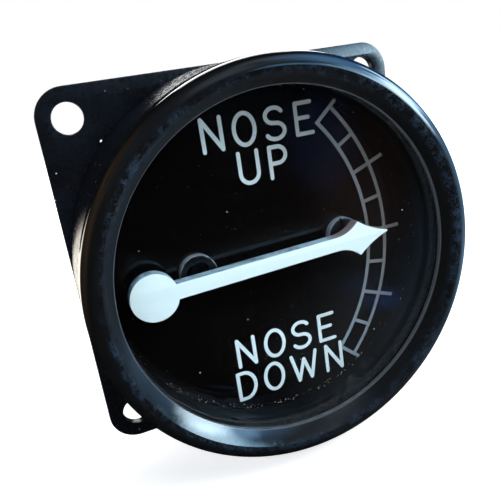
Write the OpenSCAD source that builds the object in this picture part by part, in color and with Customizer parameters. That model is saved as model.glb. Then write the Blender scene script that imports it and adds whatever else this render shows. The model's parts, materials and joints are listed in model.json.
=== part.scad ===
// Panel trim indicator: a pointer geared down from a flexible drive at the back.
// Parts are drawn in dial axes: x to the right, y up, z out of the dial towards
// the reader, z = 0 on the front face of the square flange. upright() then turns
// each part so that the dial faces -Y with its top towards +Z.

/* [Flange] */
// How far each side of the square flange lies outside the drum
flange_margin = 0.05; // [0:0.05:6]
// Thickness of the flange
flange_t = 1.6; // [1:0.1:3]
// Radius of the flange corners
flange_corner_r = 4.8; // [3:0.1:8]
// Distance of each panel hole from the flange's two nearest sides
panel_hole_edge = 4.75; // [4:0.05:6]
// Diameter of the panel holes
panel_hole_d = 4.8; // [3:0.1:5.5]

/* [Case] */
// Gap between the swinging sector and the case
swing_gap = 1; // [0.6:0.1:3]
// Width of the seat that carries the movement
seat_w = 4.5; // [4:0.1:6]
// Height of the seat above the flange
seat_h = 8.4; // [7:0.1:10]
// Step from the seat out to the bezel's thread
seat_step = 0.7; // [0.4:0.1:1.2]
// Wall of the drum outside the bezel's thread
drum_wall = 1.4; // [1:0.1:3]
// Wall of the case behind the flange
case_wall = 3.1; // [2.8:0.1:3.2]
// Room between the movement and the end of the case
rear_room = 5.8; // [5:0.1:12]

/* [Bezel and glass] */
// How far the bezel stands out from the drum
bezel_proud = 0.15; // [0.05:0.05:1]
// Height of the bezel's crest above the glass
bead_h = 2.7; // [2.2:0.1:4]
// Rounding of the bezel's crest
bead_round_r = 2; // [1.2:0.1:2.2]
// Thickness of the lip over the glass
lip_t = 0.6; // [0.4:0.1:1]
// Width of the lip over the glass
lip_w = 1.25; // [0.8:0.05:2]
// Drop from the glass's front face to the drum's rim
rim_drop = 1.9; // [1:0.1:2.6]
// Length of the skirt that screws into the drum
skirt_len = 3.6; // [2:0.1:4.2]
// Wall of the skirt
skirt_wall = 1.3; // [1:0.1:1.8]
// Thickness of the glass
glass_t = 1.6; // [1:0.1:2]
// Thickness of the rubber ring under the glass
gasket_t = 0.8; // [0.5:0.1:1.2]
// Width of the rubber ring
gasket_w = 1.05; // [0.7:0.05:1.6]
// Length of the spacer ring between dial and rubber
spacer_len = 4.3; // [3.9:0.1:6]
// Wall of the spacer ring
spacer_wall = 0.8; // [0.5:0.1:1.4]
// Radius of the half-round notch in the spacer's front edge
notch_r = 1.1; // [0.5:0.1:2]
// Direction of the notch, from the right-hand side of the dial
notch_angle = -117; // [-180:1:180]

/* [Dial] */
// Thickness of the dial
dial_t = 1.2; // [0.8:0.1:1.4]
// Distance of the dial screw inside the scale's inner arc
dial_screw_inset = 4.4; // [3.8:0.1:6]
// Radius of the screw head and of the bush flange
boss_r = 2.9; // [2.5:0.1:3.4]
// Height of the screw head and of the bush flange
boss_h = 1.2; // [0.8:0.1:1.4]
// Shank radius of the dial screw
dial_screw_r = 1; // [0.8:0.1:1.3]
// Shank radius of the pointer bush
bush_shank_r = 2; // [1.6:0.1:2.2]

/* [Scale] */
// Angle of one division
division = 10.33; // [8:0.01:10.6]
// Gap between the long graduations and the bezel's opening
scale_edge = 2.85; // [2:0.05:5]
// Length of the long graduations outside the scale's arcs
long_mark = 2.8; // [1:0.1:3.5]
// Length of the end marks outside the scale's arcs
end_mark = 1.3; // [0.5:0.1:1.8]
// Distance between the scale's two arcs
scale_band = 3.2; // [2:0.1:5]
// Width of the engraved lines
scale_line_w = 0.6; // [0.3:0.05:0.9]
// Depth of the engraved lines
scale_depth = 0.2; // [0.1:0.05:0.4]

/* [Pointer] */
// Distance of the pivot to the left of the centre
pivot_x = 12; // [11:0.1:13]
// Angle of the pointer above the middle mark, as drawn
rest_angle = 1.5; // [-20:0.5:20]
// Travel of the pointer each side of the middle mark
travel = 42; // [30:1:46]
// How far the tip reaches past the scale's inner arc
tip_overlap = 1.3; // [0:0.1:3]
// Thickness of the pointer
pointer_t = 1.9; // [1.6:0.1:2.1]
// Gap between the pointer and the bush flange under it
pointer_gap = 0.8; // [0.6:0.1:1]
// Length of the arrow head from tip to barbs
arrow_len = 5.3; // [4:0.1:8]
// Half width of the arrow head
barb_half_w = 2.8; // [2.2:0.1:3.6]
// Length of the flare behind the barbs
flare_len = 4; // [2:0.1:6]
// Half width of the shaft at its root
shaft_root_half_w = 1.2; // [1.15:0.05:1.5]
// Half width of the shaft at the flare
shaft_end_half_w = 1.12; // [0.8:0.05:1.3]
// Length of the neck between the pivot and the round tail
neck_len = 4.7; // [4:0.1:6]
// Radius of the round tail
tail_r = 3.6; // [3:0.1:4.2]

/* [Movement] */
// Thickness of both movement plates
plate_t = 1.6; // [1.2:0.1:2]
// Length of the pillars between the plates
pillar_len = 14; // [13.5:0.1:18]
// Radius of the pillars
pillar_r = 1.75; // [1.5:0.05:1.9]
// Distance of the pillars' axes inside the case's bore
pillar_inset = 2.4; // [2.2:0.1:2.8]
// Gap between the back plate and the case's bore
back_plate_gap = 0.6; // [0.2:0.1:0.8]
// Radius of pointer spindle and transfer arbor
arbor_r = 0.75; // [0.6:0.05:0.9]
// Wall of the bushes that the arbors run in
bush_wall = 0.81; // [0.6:0.01:1]
// Running clearance of arbors and spindle in their bushes
running_gap = 0.04; // [0.02:0.01:0.08]
// Thickness of the bush flanges
bush_flange_t = 0.3; // [0.2:0.05:0.4]
// Overhang of the bush flanges
bush_flange_w = 0.5; // [0.3:0.05:0.6]
// Radius of the stop pins
stop_pin_r = 0.75; // [0.6:0.05:1]
// Distance of the stop pins from the pivot
stop_pin_s = 10; // [8:0.1:12]

/* [Gears] */
// Module of all teeth
gear_module = 0.5; // [0.45:0.01:0.55]
// Teeth that a full circle of the sector would have
sector_teeth = 72; // [66:2:78]
// Teeth of each pinion
pinion_teeth = 12; // [12:1:13]
// Teeth of the transfer wheel
wheel_teeth = 24; // [22:1:26]
// Pressure angle of the teeth
pressure_angle = 25; // [24:0.5:27]
// Play between two meshing teeth
backlash = 0.12; // [0.06:0.01:0.16]
// Thickness of sector and wheel
gear_t = 1.2; // [0.8:0.1:1.4]
// How much longer a pinion is than its wheel is thick
pinion_extra = 1.2; // [0.6:0.1:1.6]
// Angle of the sector's arms from its middle
arm_angle = 35; // [30:1:40]
// Width of the sector's arms
arm_w = 2.4; // [1.8:0.1:3]
// Width of the sector's rim below the teeth
rim_w = 2.6; // [2:0.1:3.4]
// Radius of the neck that the sector is riveted on
collet_neck_r = 1.6; // [1.4:0.1:1.9]
// Height of the shoulder under the sector
collet_h = 1.6; // [1.2:0.1:2]
// Wall of the sector round that neck
sector_hub_wall = 1.6; // [1.2:0.1:2]
// Gap between the nut of the pointer bush and the sector
nut_gap = 0.9; // [0.6:0.1:1.2]
// Gap between the sector and the transfer wheel
wheel_drop = 3.4; // [3:0.1:4]
// Wall of the wheel's and pinions' hubs
hub_wall = 0.95; // [0.7:0.05:1.2]
// Radius of the wheel's lightening holes
wheel_hole_r = 1.1; // [0.8:0.05:1.2]
// Metal between these holes and the roots of the teeth
wheel_web = 0.6; // [0.4:0.05:0.8]

/* [Hairspring] */
// Turns of the hairspring
spring_turns = 3.5; // [2:0.5:5]
// Distance between its turns
spring_pitch = 0.93; // [0.7:0.01:1]
// Gap to the collet that turns inside it
spring_clear = 0.25; // [0.2:0.01:0.4]
// Thickness of its strip
spring_t = 0.15; // [0.1:0.01:0.2]
// Width of its strip
spring_w = 1; // [0.6:0.1:1.2]
// Radius of the collet inside it
spring_collet_r = 1.8; // [1.5:0.1:2]
// Radius of the stud at its outer end
stud_r = 0.6; // [0.5:0.05:0.8]

/* [Rear drive] */
// Thickness of the rear cover
cover_t = 1.6; // [1.2:0.1:2.4]
// Thickness of the gasket under the cover
cover_gasket_t = 0.4; // [0.2:0.1:0.8]
// Length of the cover's spigot inside the case
spigot_len = 2.2; // [1.6:0.1:3]
// Wall of that spigot
spigot_wall = 1.2; // [0.8:0.1:2]
// Width of the union's hexagon across its flats
union_af = 15; // [13:0.5:17]
// Thickness of the union's hexagon
union_hex_t = 1.6; // [1.2:0.1:3]
// Length of the nozzle behind the hexagon
nozzle_len = 7.4; // [6.8:0.1:9]
// Radius of the nozzle over its thread
nozzle_r = 5; // [4.6:0.1:5.6]
// Wall of the nozzle
nozzle_wall = 2; // [1.5:0.1:2.2]
// Radius of the drive spindle
spindle_r = 1.25; // [1:0.05:1.4]
// Radius of the spindle's socket head
socket_head_r = 2.3; // [2:0.1:2.5]
// Radius of the socket for the flexible drive
socket_r = 1.3; // [1:0.05:1.5]
// Depth of the socket
socket_depth = 3.4; // [2.5:0.1:4]
// Metal left behind the socket
socket_floor = 0.4; // [0.3:0.1:1]
// Width of the slot across the socket's mouth
socket_slot_w = 0.8; // [0.5:0.1:1.2]
// Radius of the collar on the spindle
collar_r = 2.6; // [2.2:0.1:3]
// Length of that collar
collar_t = 1.8; // [1.2:0.1:2.4]

/* [Screws] */
// Shank radius of the case and plate screws
screw_r = 0.85; // [0.7:0.05:0.95]
// Head radius of these screws
screw_head_r = 1.5; // [1.3:0.05:1.55]
// Head height of these screws
screw_head_h = 1.2; // [0.8:0.1:1.5]
// Length of their thread in case and pillars
screw_grip = 5; // [4:0.5:5.5]
// Width of the screwdriver slots
driver_slot_w = 0.4; // [0.3:0.05:0.5]

/* [Hidden] */
$fn = 96;

// Gap between parts that slide together by hand
fit_gap = 0.1;
// Gap in tapped holes and around pressed-in parts
press_gap = 0.02;
// End play of arbors and spindle
end_play = 0.2;
// Overshoot of every cut
over = 0.4;

// Heights in the stack in front of the flange
dial_back = seat_h + plate_t;
dial_front = dial_back + dial_t;
boss_front = dial_front + boss_h;
spacer_front = dial_front + spacer_len;
glass_back = spacer_front + gasket_t;
glass_front = glass_back + glass_t;
lip_front = glass_front + lip_t;
crest = glass_front + bead_h;
drum_len = glass_front - rim_drop;
pointer_back = boss_front + pointer_gap;
pointer_front = pointer_back + pointer_t;
skirt_end = drum_len - skirt_len;

// Heights in the movement
pillar_back = seat_h - pillar_len;
back_plate_back = pillar_back - plate_t;
nut_t = 1.3;
nut_af = 2 * bush_shank_r + 2;
nut_back = seat_h - nut_t;
sector_front = nut_back - nut_gap;
sector_back = sector_front - gear_t;
wheel_front = sector_back - wheel_drop;
wheel_back = wheel_front - gear_t;
sector_middle = (sector_front + sector_back) / 2;
wheel_middle = (wheel_front + wheel_back) / 2;
pinion_len = gear_t + pinion_extra;
shoulder_top = seat_h - bush_flange_t - end_play;
shoulder_bottom = pillar_back + bush_flange_t + end_play;
shoulder_r = arbor_r + 0.5;
shoulder_t = 0.8;

// Gear train on the horizontal centre line
sector_pitch_r = pitch_r(sector_teeth);
pinion_pitch_r = pitch_r(pinion_teeth);
wheel_pitch_r = pitch_r(wheel_teeth);
pivot = [-pivot_x, 0];
transfer = pivot + [sector_pitch_r + pinion_pitch_r, 0];
drive = transfer - [wheel_pitch_r + pinion_pitch_r, 0];
transfer_ratio = -sector_teeth / pinion_teeth;
drive_ratio = -transfer_ratio * wheel_teeth / pinion_teeth;
tooth_step = 360 / sector_teeth;
teeth_cut = 2 * ceil((travel + 7) / tooth_step);
sector_half_angle = teeth_cut * tooth_step / 2;
flank_steps = 5;
sector_hub_r = collet_neck_r + sector_hub_wall;
pinion_hub_r = arbor_r + hub_wall;
bush_r = arbor_r + running_gap + bush_wall;
bush_flange_r = bush_r + bush_flange_w;
stop_pin_angle = arm_angle + travel + asin((arm_w / 2 + stop_pin_r + 0.08) / stop_pin_s);

// The sector's last tooth swings out to this radius, and the case follows from it
swing_reach = norm(pivot + polar(tip_r(sector_teeth), sector_half_angle + travel));
case_bore_r = ceil(10 * (swing_reach + swing_gap)) / 10;
rear_r = case_bore_r + case_wall;
rear_len = rear_room - back_plate_back;
// Shoulder that centres the flange; the case behind it is slimmer and enters the panel
flange_seat_r = rear_r + 0.6;
pillar_pitch_r = case_bore_r - pillar_inset;
dial_r = case_bore_r + seat_w;
seat_bore_r = dial_r + fit_gap;

// Drum, bezel and glass, from the seat outwards and back in
mouth_r = seat_bore_r + seat_step;
skirt_out_r = mouth_r - fit_gap;
skirt_in_r = skirt_out_r - skirt_wall;
drum_r = mouth_r + drum_wall;
bezel_r = drum_r + bezel_proud;
glass_r = skirt_in_r - fit_gap;
opening_r = glass_r - lip_w;
gasket_in_r = glass_r - gasket_w;
spacer_in_r = glass_r - spacer_wall;
flange_w = 2 * (drum_r + flange_margin);
panel_hole_pitch = flange_w - 2 * panel_hole_edge;

// Scale and pointer, from the opening inwards
scale_long_r = opening_r + pivot_x - scale_edge;
scale_out_r = scale_long_r - long_mark;
scale_in_r = scale_out_r - scale_band;
dial_screw_x = scale_in_r - pivot_x - dial_screw_inset;
pointer_reach = scale_in_r + tip_overlap;
barb_s = pointer_reach - arrow_len;
flare_s = barb_s - flare_len;
tail_s = neck_len + tail_r;
hub_r = arbor_r + 0.65;

// Hairspring between its collet and its stud
spring_front = wheel_front + 0.7;
spring_back = spring_front - spring_w;
spring_in_r = spring_collet_r + spring_clear;
spring_r = spring_in_r + spring_turns * spring_pitch;
stud_angle = 150;

// Heights behind the case
cover_front = -rear_len - cover_gasket_t;
cover_back = cover_front - cover_t;
hex_back = cover_back - union_hex_t;
nozzle_end = hex_back - nozzle_len;
nozzle_bore_r = nozzle_r - nozzle_wall;
socket_end = nozzle_end + 1;
socket_head_len = socket_depth + socket_floor;
socket_top = socket_end + socket_head_len;
union_spigot_r = nozzle_r - 0.5;
union_front = cover_front + 0.8;
drive_bush_back = socket_top + 1.2;
plate_bush_r = spindle_r + 1.15;
collar_front = back_plate_back - end_play;

flange_screw_pitch_r = flange_seat_r + fit_gap + screw_head_r + 0.1;
cover_screw_pitch_r = (rear_r + case_bore_r) / 2;
tap_depth = screw_grip + 0.4;
flush_head_h = 0.8;
flush_slot_d = 0.4;

function polar(r, a) = [r * cos(a), r * sin(a)];

function arc(centre, r, a0, a1, steps) =
    [for (i = [0 : steps]) centre + polar(r, a0 + (a1 - a0) * i / steps)];

// Shallow curve from p to q that bows out to the left by the given height
function bowed(p, q, bow, steps) =
    let (d = q - p, side = [-d[1], d[0]] / norm(d))
    [for (i = [0 : steps]) let (t = i / steps) p + d * t + side * bow * 4 * t * (1 - t)];

function mirrored(points) = [for (i = [len(points) - 1 : -1 : 0]) [points[i][0], -points[i][1]]];

function pitch_r(teeth) = gear_module * teeth / 2;
function base_r(teeth) = pitch_r(teeth) * cos(pressure_angle);
function root_r(teeth) = pitch_r(teeth) - 1.2 * gear_module;
function tip_r(teeth) = pitch_r(teeth) + gear_module;
function involute(a) = tan(a) * 180 / PI - a;

// Half the angle that a tooth takes up at radius r
function tooth_half_angle(teeth, r) =
    90 / teeth - backlash / 4 / pitch_r(teeth) * 180 / PI
    + involute(pressure_angle) - involute(acos(min(1, base_r(teeth) / r)));

function flank_radii(teeth) =
    let (start = max(root_r(teeth), base_r(teeth)))
    concat(
        root_r(teeth) < start ? [root_r(teeth)] : [],
        [for (i = [0 : flank_steps]) start + (tip_r(teeth) - start) * i / flank_steps]
    );

// Outline of one tooth about the given angle
function tooth(teeth, angle) =
    let (radii = flank_radii(teeth))
    concat(
        [for (r = radii) polar(r, angle - tooth_half_angle(teeth, r))],
        [for (i = [len(radii) - 1 : -1 : 0])
            polar(radii[i], angle + tooth_half_angle(teeth, radii[i]))]
    );

// Turns a part from dial axes to the upright instrument
module upright() {
    rotate([90, 0, 0]) children();
}

// The three moving groups, each turned to the drawn position of the pointer
module on_pointer() {
    translate(pivot) rotate(rest_angle) children();
}

module on_transfer() {
    translate(transfer) rotate(rest_angle * transfer_ratio) children();
}

module on_drive() {
    translate(drive) rotate(rest_angle * drive_ratio) children();
}

module disc(r, z0, z1) {
    translate([0, 0, z0]) cylinder(r = r, h = z1 - z0);
}

module ring(r_out, r_in, z0, z1) {
    difference() {
        disc(r_out, z0, z1);
        disc(r_in, z0 - over, z1 + over);
    }
}

module hexagon(across_flats, z0, z1) {
    translate([0, 0, z0]) cylinder(r = across_flats / 2 / cos(30), h = z1 - z0, $fn = 6);
}

module around(count, r, first) {
    for (i = [0 : count - 1])
        rotate(first + 360 * i / count) translate([r, 0]) children();
}

// Slotted cheese-head screw, its head above z = 0
module screw(shank_r, shank_len, head_r, head_h) {
    slot_depth = head_h * 0.4;
    difference() {
        union() {
            disc(shank_r, -shank_len, 0);
            disc(head_r, 0, head_h);
        }
        translate([-head_r - over, -driver_slot_w / 2, head_h - slot_depth])
            cube([2 * (head_r + over), driver_slot_w, slot_depth + over]);
    }
}

// Cone of a countersunk head, its wide face at z = 0
module countersink() {
    translate([0, 0, -flush_head_h]) cylinder(r1 = screw_r, r2 = screw_head_r, h = flush_head_h);
}

// Slotted countersunk screw, its head flush with z = 0
module flush_screw(shank_len) {
    difference() {
        union() {
            disc(screw_r, -shank_len, -flush_slot_d);
            countersink();
        }
        translate([-screw_head_r - over, -driver_slot_w / 2, -flush_slot_d])
            cube([2 * (screw_head_r + over), driver_slot_w, flush_slot_d + over]);
    }
}

module gear(teeth, first, z0, z1) {
    translate([0, 0, z0]) linear_extrude(z1 - z0)
        polygon([for (i = [0 : teeth - 1]) each tooth(teeth, first + 360 * i / teeth)]);
}

// Bush pressed into a plate, its flange on the plate's inner face
module plate_bush(r_out, flange_r, r_in, outer_end, plate_face, flange_end) {
    difference() {
        union() {
            disc(r_out, min(outer_end, plate_face), max(outer_end, plate_face));
            disc(flange_r, min(plate_face, flange_end), max(plate_face, flange_end));
        }
        disc(r_in, min(outer_end, flange_end) - over, max(outer_end, flange_end) + over);
    }
}

module bezel_ring() {
    crown = [bezel_r - bead_round_r, crest - bead_round_r];
    color("#16181b") upright() rotate_extrude(convexity = 4) polygon(concat(
        [
            [skirt_in_r, glass_front],
            [skirt_in_r, skirt_end],
            [skirt_out_r, skirt_end],
            [skirt_out_r, drum_len],
            [bezel_r, drum_len]
        ],
        arc(crown, bead_round_r, 0, 106, 16),
        [
            [opening_r, lip_front],
            [opening_r, glass_front]
        ]
    ));
}

module cover_glass() {
    color("#c5d3da", 0.3) upright() disc(glass_r, glass_back, glass_front);
}

module glass_gasket() {
    color("#26282a") upright() ring(glass_r, gasket_in_r, spacer_front, glass_back);
}

module spacer_ring() {
    color("#0d0e10") upright() difference() {
        ring(glass_r, spacer_in_r, dial_front, spacer_front);
        rotate(notch_angle) translate([spacer_in_r - 1, 0, spacer_front]) rotate([0, 90, 0])
            cylinder(r = notch_r, h = glass_r - spacer_in_r + 2);
    }
}

// Arc line of the scale, cut off at the end marks
module scale_arc(r, half_angle) {
    reach = 2 * r;
    intersection() {
        difference() {
            circle(r = r + scale_line_w / 2);
            circle(r = r - scale_line_w / 2);
        }
        polygon([[0, 0], polar(reach, -half_angle), [reach, 0], polar(reach, half_angle)]);
    }
}

module graduation(angle, reach) {
    start = scale_in_r - scale_line_w / 2;
    rotate(angle) translate([start, -scale_line_w / 2]) square([reach - start, scale_line_w]);
}

module scale_lines(extra) {
    translate([pivot[0], pivot[1], dial_front - scale_depth]) linear_extrude(scale_depth + extra) {
        scale_arc(scale_in_r, 4 * division);
        scale_arc(scale_out_r, 4 * division);
        for (i = [-4, 4]) graduation(i * division, scale_out_r + end_mark);
        for (i = [-3, -1, 1, 3]) graduation(i * division, scale_out_r);
        for (i = [-2, 0, 2]) graduation(i * division, scale_long_r);
    }
}

module dial_plate() {
    color("#0b0c0f") upright() difference() {
        disc(dial_r, dial_back, dial_front);
        translate(pivot) disc(bush_shank_r + fit_gap, dial_back - over, dial_front + over);
        translate([dial_screw_x, 0]) disc(dial_screw_r + fit_gap, dial_back - over, dial_front + over);
        scale_lines(over);
    }
}

module scale_inlay() {
    color("#aab4c0") upright() scale_lines(0);
}

module dial_screw() {
    color("#101114") upright() translate([dial_screw_x, 0, dial_front])
        screw(dial_screw_r, dial_t + plate_t, boss_r, boss_h);
}

// Flanged bush of the pointer spindle; its threaded shank passes dial and front plate
module pointer_bush() {
    color("#101114") upright() translate(pivot) difference() {
        union() {
            disc(boss_r, dial_front, boss_front);
            disc(bush_shank_r, nut_back, dial_front);
        }
        disc(arbor_r + running_gap, nut_back - over, boss_front + over);
    }
}

module bush_nut() {
    color("#b08d4a") upright() translate(pivot) difference() {
        hexagon(nut_af, nut_back, seat_h);
        disc(bush_shank_r + press_gap, nut_back - over, seat_h + over);
    }
}

module case_drum() {
    chamfer = 0.3;
    thread_end = skirt_end - 0.4;
    color("#111214") upright() difference() {
        rotate_extrude(convexity = 4) polygon([
            [case_bore_r, -rear_len],
            [rear_r - chamfer, -rear_len],
            [rear_r, chamfer - rear_len],
            [rear_r, -flange_t],
            [flange_seat_r, -flange_t],
            [flange_seat_r, 0],
            [drum_r, 0],
            [drum_r, drum_len],
            [mouth_r, drum_len],
            [mouth_r, thread_end],
            [seat_bore_r, thread_end],
            [seat_bore_r, seat_h],
            [case_bore_r, seat_h]
        ]);
        around(4, flange_screw_pitch_r, 45) disc(screw_r + press_gap, -over, tap_depth);
        around(4, cover_screw_pitch_r, 45)
            disc(screw_r + press_gap, -rear_len - over, tap_depth - rear_len);
    }
}

module flange_plate() {
    corner = flange_w / 2 - flange_corner_r;
    hole = panel_hole_pitch / 2;
    color("#0f1013") upright() difference() {
        translate([0, 0, -flange_t]) linear_extrude(flange_t) {
            for (x = [-corner, corner], y = [-corner, corner])
                translate([x, y]) circle(r = flange_corner_r);
            square([flange_w, 2 * corner], center = true);
            square([2 * corner, flange_w], center = true);
        }
        disc(flange_seat_r + fit_gap, -flange_t - over, over);
        for (x = [-hole, hole], y = [-hole, hole])
            translate([x, y]) disc(panel_hole_d / 2, -flange_t - over, over);
        around(4, flange_screw_pitch_r, 45) {
            disc(screw_r + fit_gap, -flange_t - over, over);
            translate([0, 0, -flange_t]) rotate([180, 0, 0]) countersink();
        }
    }
}

// Flush with the flange's back, which lies on the panel
module flange_screws() {
    color("#8c8f94") upright() around(4, flange_screw_pitch_r, 45) translate([0, 0, -flange_t])
        rotate([180, 0, 0]) flush_screw(flange_t + screw_grip);
}

module stop_pin_places() {
    for (side = [-1, 1]) translate(pivot) rotate(side * stop_pin_angle) translate([stop_pin_s, 0])
        children();
}

module stud_place() {
    translate(pivot) translate(polar(spring_r, stud_angle)) children();
}

module front_plate() {
    z0 = seat_h - over;
    z1 = dial_back + over;
    color("#b8965a") upright() difference() {
        disc(dial_r, seat_h, dial_back);
        translate(pivot) disc(bush_shank_r + fit_gap, z0, z1);
        translate([dial_screw_x, 0]) disc(dial_screw_r + press_gap, z0, z1);
        translate(transfer) disc(bush_r + press_gap, z0, z1);
        stop_pin_places() disc(stop_pin_r + press_gap, z0, z1);
        around(3, pillar_pitch_r, 60) {
            disc(screw_r + fit_gap, z0, z1);
            translate([0, 0, dial_back]) countersink();
        }
    }
}

// The sector's arms meet these pins at both ends of the pointer's travel
module stop_pins() {
    color("#9a9da2") upright() stop_pin_places() {
        disc(stop_pin_r, sector_back - 0.4, dial_back);
        disc(stop_pin_r + 0.4, seat_h - 0.4, seat_h);
    }
}

module pillars() {
    color("#c0a060") upright() around(3, pillar_pitch_r, 60) difference() {
        disc(pillar_r, pillar_back, seat_h);
        disc(screw_r + press_gap, seat_h - tap_depth, seat_h + over);
        disc(screw_r + press_gap, pillar_back - over, pillar_back + tap_depth);
    }
}

// Countersunk in front, under the dial, and cheese-headed at the back
module pillar_screws() {
    color("#8c8f94") upright() around(3, pillar_pitch_r, 60) {
        translate([0, 0, dial_back]) flush_screw(plate_t + screw_grip);
        translate([0, 0, back_plate_back]) rotate([180, 0, 0])
            screw(screw_r, plate_t + screw_grip, screw_head_r, screw_head_h);
    }
}

module back_plate() {
    z0 = back_plate_back - over;
    z1 = pillar_back + over;
    color("#b8965a") upright() difference() {
        disc(case_bore_r - back_plate_gap, back_plate_back, pillar_back);
        translate(pivot) disc(bush_r + press_gap, z0, z1);
        translate(transfer) disc(bush_r + press_gap, z0, z1);
        translate(drive) disc(plate_bush_r + press_gap, z0, z1);
        stud_place() disc(stud_r + press_gap, z0, z1);
        around(3, pillar_pitch_r, 60) disc(screw_r + fit_gap, z0, z1);
    }
}

module arbor_bushes() {
    bore = arbor_r + running_gap;
    back_flange = pillar_back + bush_flange_t;
    color("#b87a3c") upright() {
        translate(transfer)
            plate_bush(bush_r, bush_flange_r, bore, dial_back, seat_h, seat_h - bush_flange_t);
        for (place = [pivot, transfer]) translate(place)
            plate_bush(bush_r, bush_flange_r, bore, back_plate_back, pillar_back, back_flange);
    }
}

module spring_solid() {
    steps = 32 * ceil(spring_turns);
    climb = (spring_r - spring_in_r) / steps;
    start = stud_angle - 360 * spring_turns;
    function edge(i, side) =
        polar(spring_in_r + climb * i + side * spring_t / 2, start + 360 * spring_turns * i / steps);
    translate([pivot[0], pivot[1], spring_back]) linear_extrude(spring_w) polygon(concat(
        [for (i = [0 : steps]) edge(i, 1)],
        [for (i = [steps : -1 : 0]) edge(i, -1)]
    ));
}

// Flat spiral, drawn just clear of the collet that turns inside it
module hairspring() {
    color("#5d6f9c") upright() spring_solid();
}

module spring_stud() {
    color("#c0a060") upright() difference() {
        stud_place() {
            disc(stud_r, back_plate_back, spring_front + 0.3);
            disc(stud_r + 0.4, pillar_back, pillar_back + 0.6);
        }
        spring_solid();
    }
}

module rear_cover() {
    spigot_r = case_bore_r - fit_gap;
    z0 = cover_back - over;
    z1 = cover_front + over;
    color("#111214") upright() difference() {
        union() {
            disc(rear_r, cover_back, cover_front);
            ring(spigot_r, spigot_r - spigot_wall, cover_front, cover_front + spigot_len);
        }
        translate(drive) disc(union_spigot_r + press_gap, z0, z1);
        around(4, cover_screw_pitch_r, 45) disc(screw_r + fit_gap, z0, z1);
    }
}

module cover_gasket() {
    color("#4a3a2a") upright() difference() {
        ring(rear_r - fit_gap, case_bore_r, cover_front, -rear_len);
        around(4, cover_screw_pitch_r, 45)
            disc(screw_r + fit_gap, cover_front - over, over - rear_len);
    }
}

module cover_screws() {
    shank = cover_t + cover_gasket_t + screw_grip;
    color("#8c8f94") upright() around(4, cover_screw_pitch_r, 45) translate([0, 0, cover_back])
        rotate([180, 0, 0]) screw(screw_r, shank, screw_head_r, screw_head_h);
}

// Screwed nozzle for the nut of the flexible drive
module drive_union() {
    relief = 1;
    chamfer = 0.5;
    color("#c2a15c") upright() translate(drive) difference() {
        union() {
            disc(union_spigot_r, cover_back, union_front);
            hexagon(union_af, hex_back, cover_back);
            disc(nozzle_r - chamfer, hex_back - relief, hex_back);
            disc(nozzle_r, nozzle_end + chamfer, hex_back - relief);
            translate([0, 0, nozzle_end])
                cylinder(r1 = nozzle_r - chamfer, r2 = nozzle_r, h = chamfer);
        }
        disc(nozzle_bore_r, nozzle_end - over, union_front + over);
    }
}

module drive_bushes() {
    bore = spindle_r + running_gap;
    plate_flange = pillar_back + bush_flange_t;
    union_flange = union_front + 0.4;
    color("#b87a3c") upright() translate(drive) {
        plate_bush(plate_bush_r, plate_bush_r + bush_flange_w, bore, back_plate_back, pillar_back,
            plate_flange);
        plate_bush(nozzle_bore_r - press_gap, nozzle_bore_r + 0.8, bore, drive_bush_back,
            union_front, union_flange);
    }
}

// Upper half of the pointer's outline, from the tail to the tip
pointer_upper = concat(
    [[-tail_s, 0.58 * tail_r]],
    bowed([-tail_s + 0.811 * tail_r, 0.583 * tail_r], [-3.4, shaft_root_half_w], -0.1, 6),
    bowed([flare_s, shaft_end_half_w], [barb_s, barb_half_w], -0.45, 10),
    bowed([barb_s + 0.1, barb_half_w], [pointer_reach, 0.12], -0.3, 10)
);

module pointer() {
    color("#eef6fb") upright() on_pointer() difference() {
        translate([0, 0, pointer_back]) linear_extrude(pointer_t) {
            translate([-tail_s, 0]) circle(r = tail_r);
            polygon(concat(pointer_upper, mirrored(pointer_upper)));
        }
        disc(arbor_r + press_gap, pointer_back - over, pointer_back + 1);
    }
}

module pointer_hub() {
    color("#2a2c30") upright() on_pointer()
        ring(hub_r, arbor_r + press_gap, boss_front + 0.25, pointer_back);
}

module pointer_spindle() {
    color("#a8abb0") upright() on_pointer() {
        disc(arbor_r, back_plate_back - 0.4, pointer_back + 1);
        disc(shoulder_r, shoulder_bottom, shoulder_bottom + shoulder_t);
    }
}

// Toothed rim on two arms, cut from one plate
module sector_gear() {
    rim_in_r = root_r(sector_teeth) - rim_w;
    end_angle = sector_half_angle - 0.5;
    first = tooth_step / 2 - sector_half_angle;
    color("#c9a75f") upright() on_pointer() translate([0, 0, sector_back])
        linear_extrude(gear_t) difference() {
            union() {
                polygon(concat(
                    [for (i = [0 : teeth_cut - 1]) each tooth(sector_teeth, first + i * tooth_step)],
                    arc([0, 0], rim_in_r, end_angle, -end_angle, 48)
                ));
                for (side = [-1, 1]) rotate(side * arm_angle)
                    translate([0, -arm_w / 2]) square([rim_in_r + 0.6, arm_w]);
                circle(r = sector_hub_r);
            }
            circle(r = collet_neck_r + press_gap);
        }
}

// Shouldered hub that carries the sector on the pointer spindle
module sector_collet() {
    color("#b8965a") upright() on_pointer() difference() {
        union() {
            disc(sector_hub_r - 0.6, sector_back - collet_h, sector_back);
            disc(collet_neck_r, sector_back, sector_front + 0.1);
        }
        disc(arbor_r + press_gap, sector_back - collet_h - over, sector_front + 0.5);
    }
}

module spring_collet() {
    color("#b8965a") upright() on_pointer()
        ring(spring_collet_r, arbor_r + press_gap, spring_back - 0.3, spring_front + 0.3);
}

module transfer_arbor() {
    color("#a8abb0") upright() on_transfer() {
        disc(arbor_r, back_plate_back - 0.4, dial_back - 0.3);
        disc(shoulder_r, shoulder_bottom, shoulder_bottom + shoulder_t);
        disc(shoulder_r, shoulder_top - shoulder_t, shoulder_top);
    }
}

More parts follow.
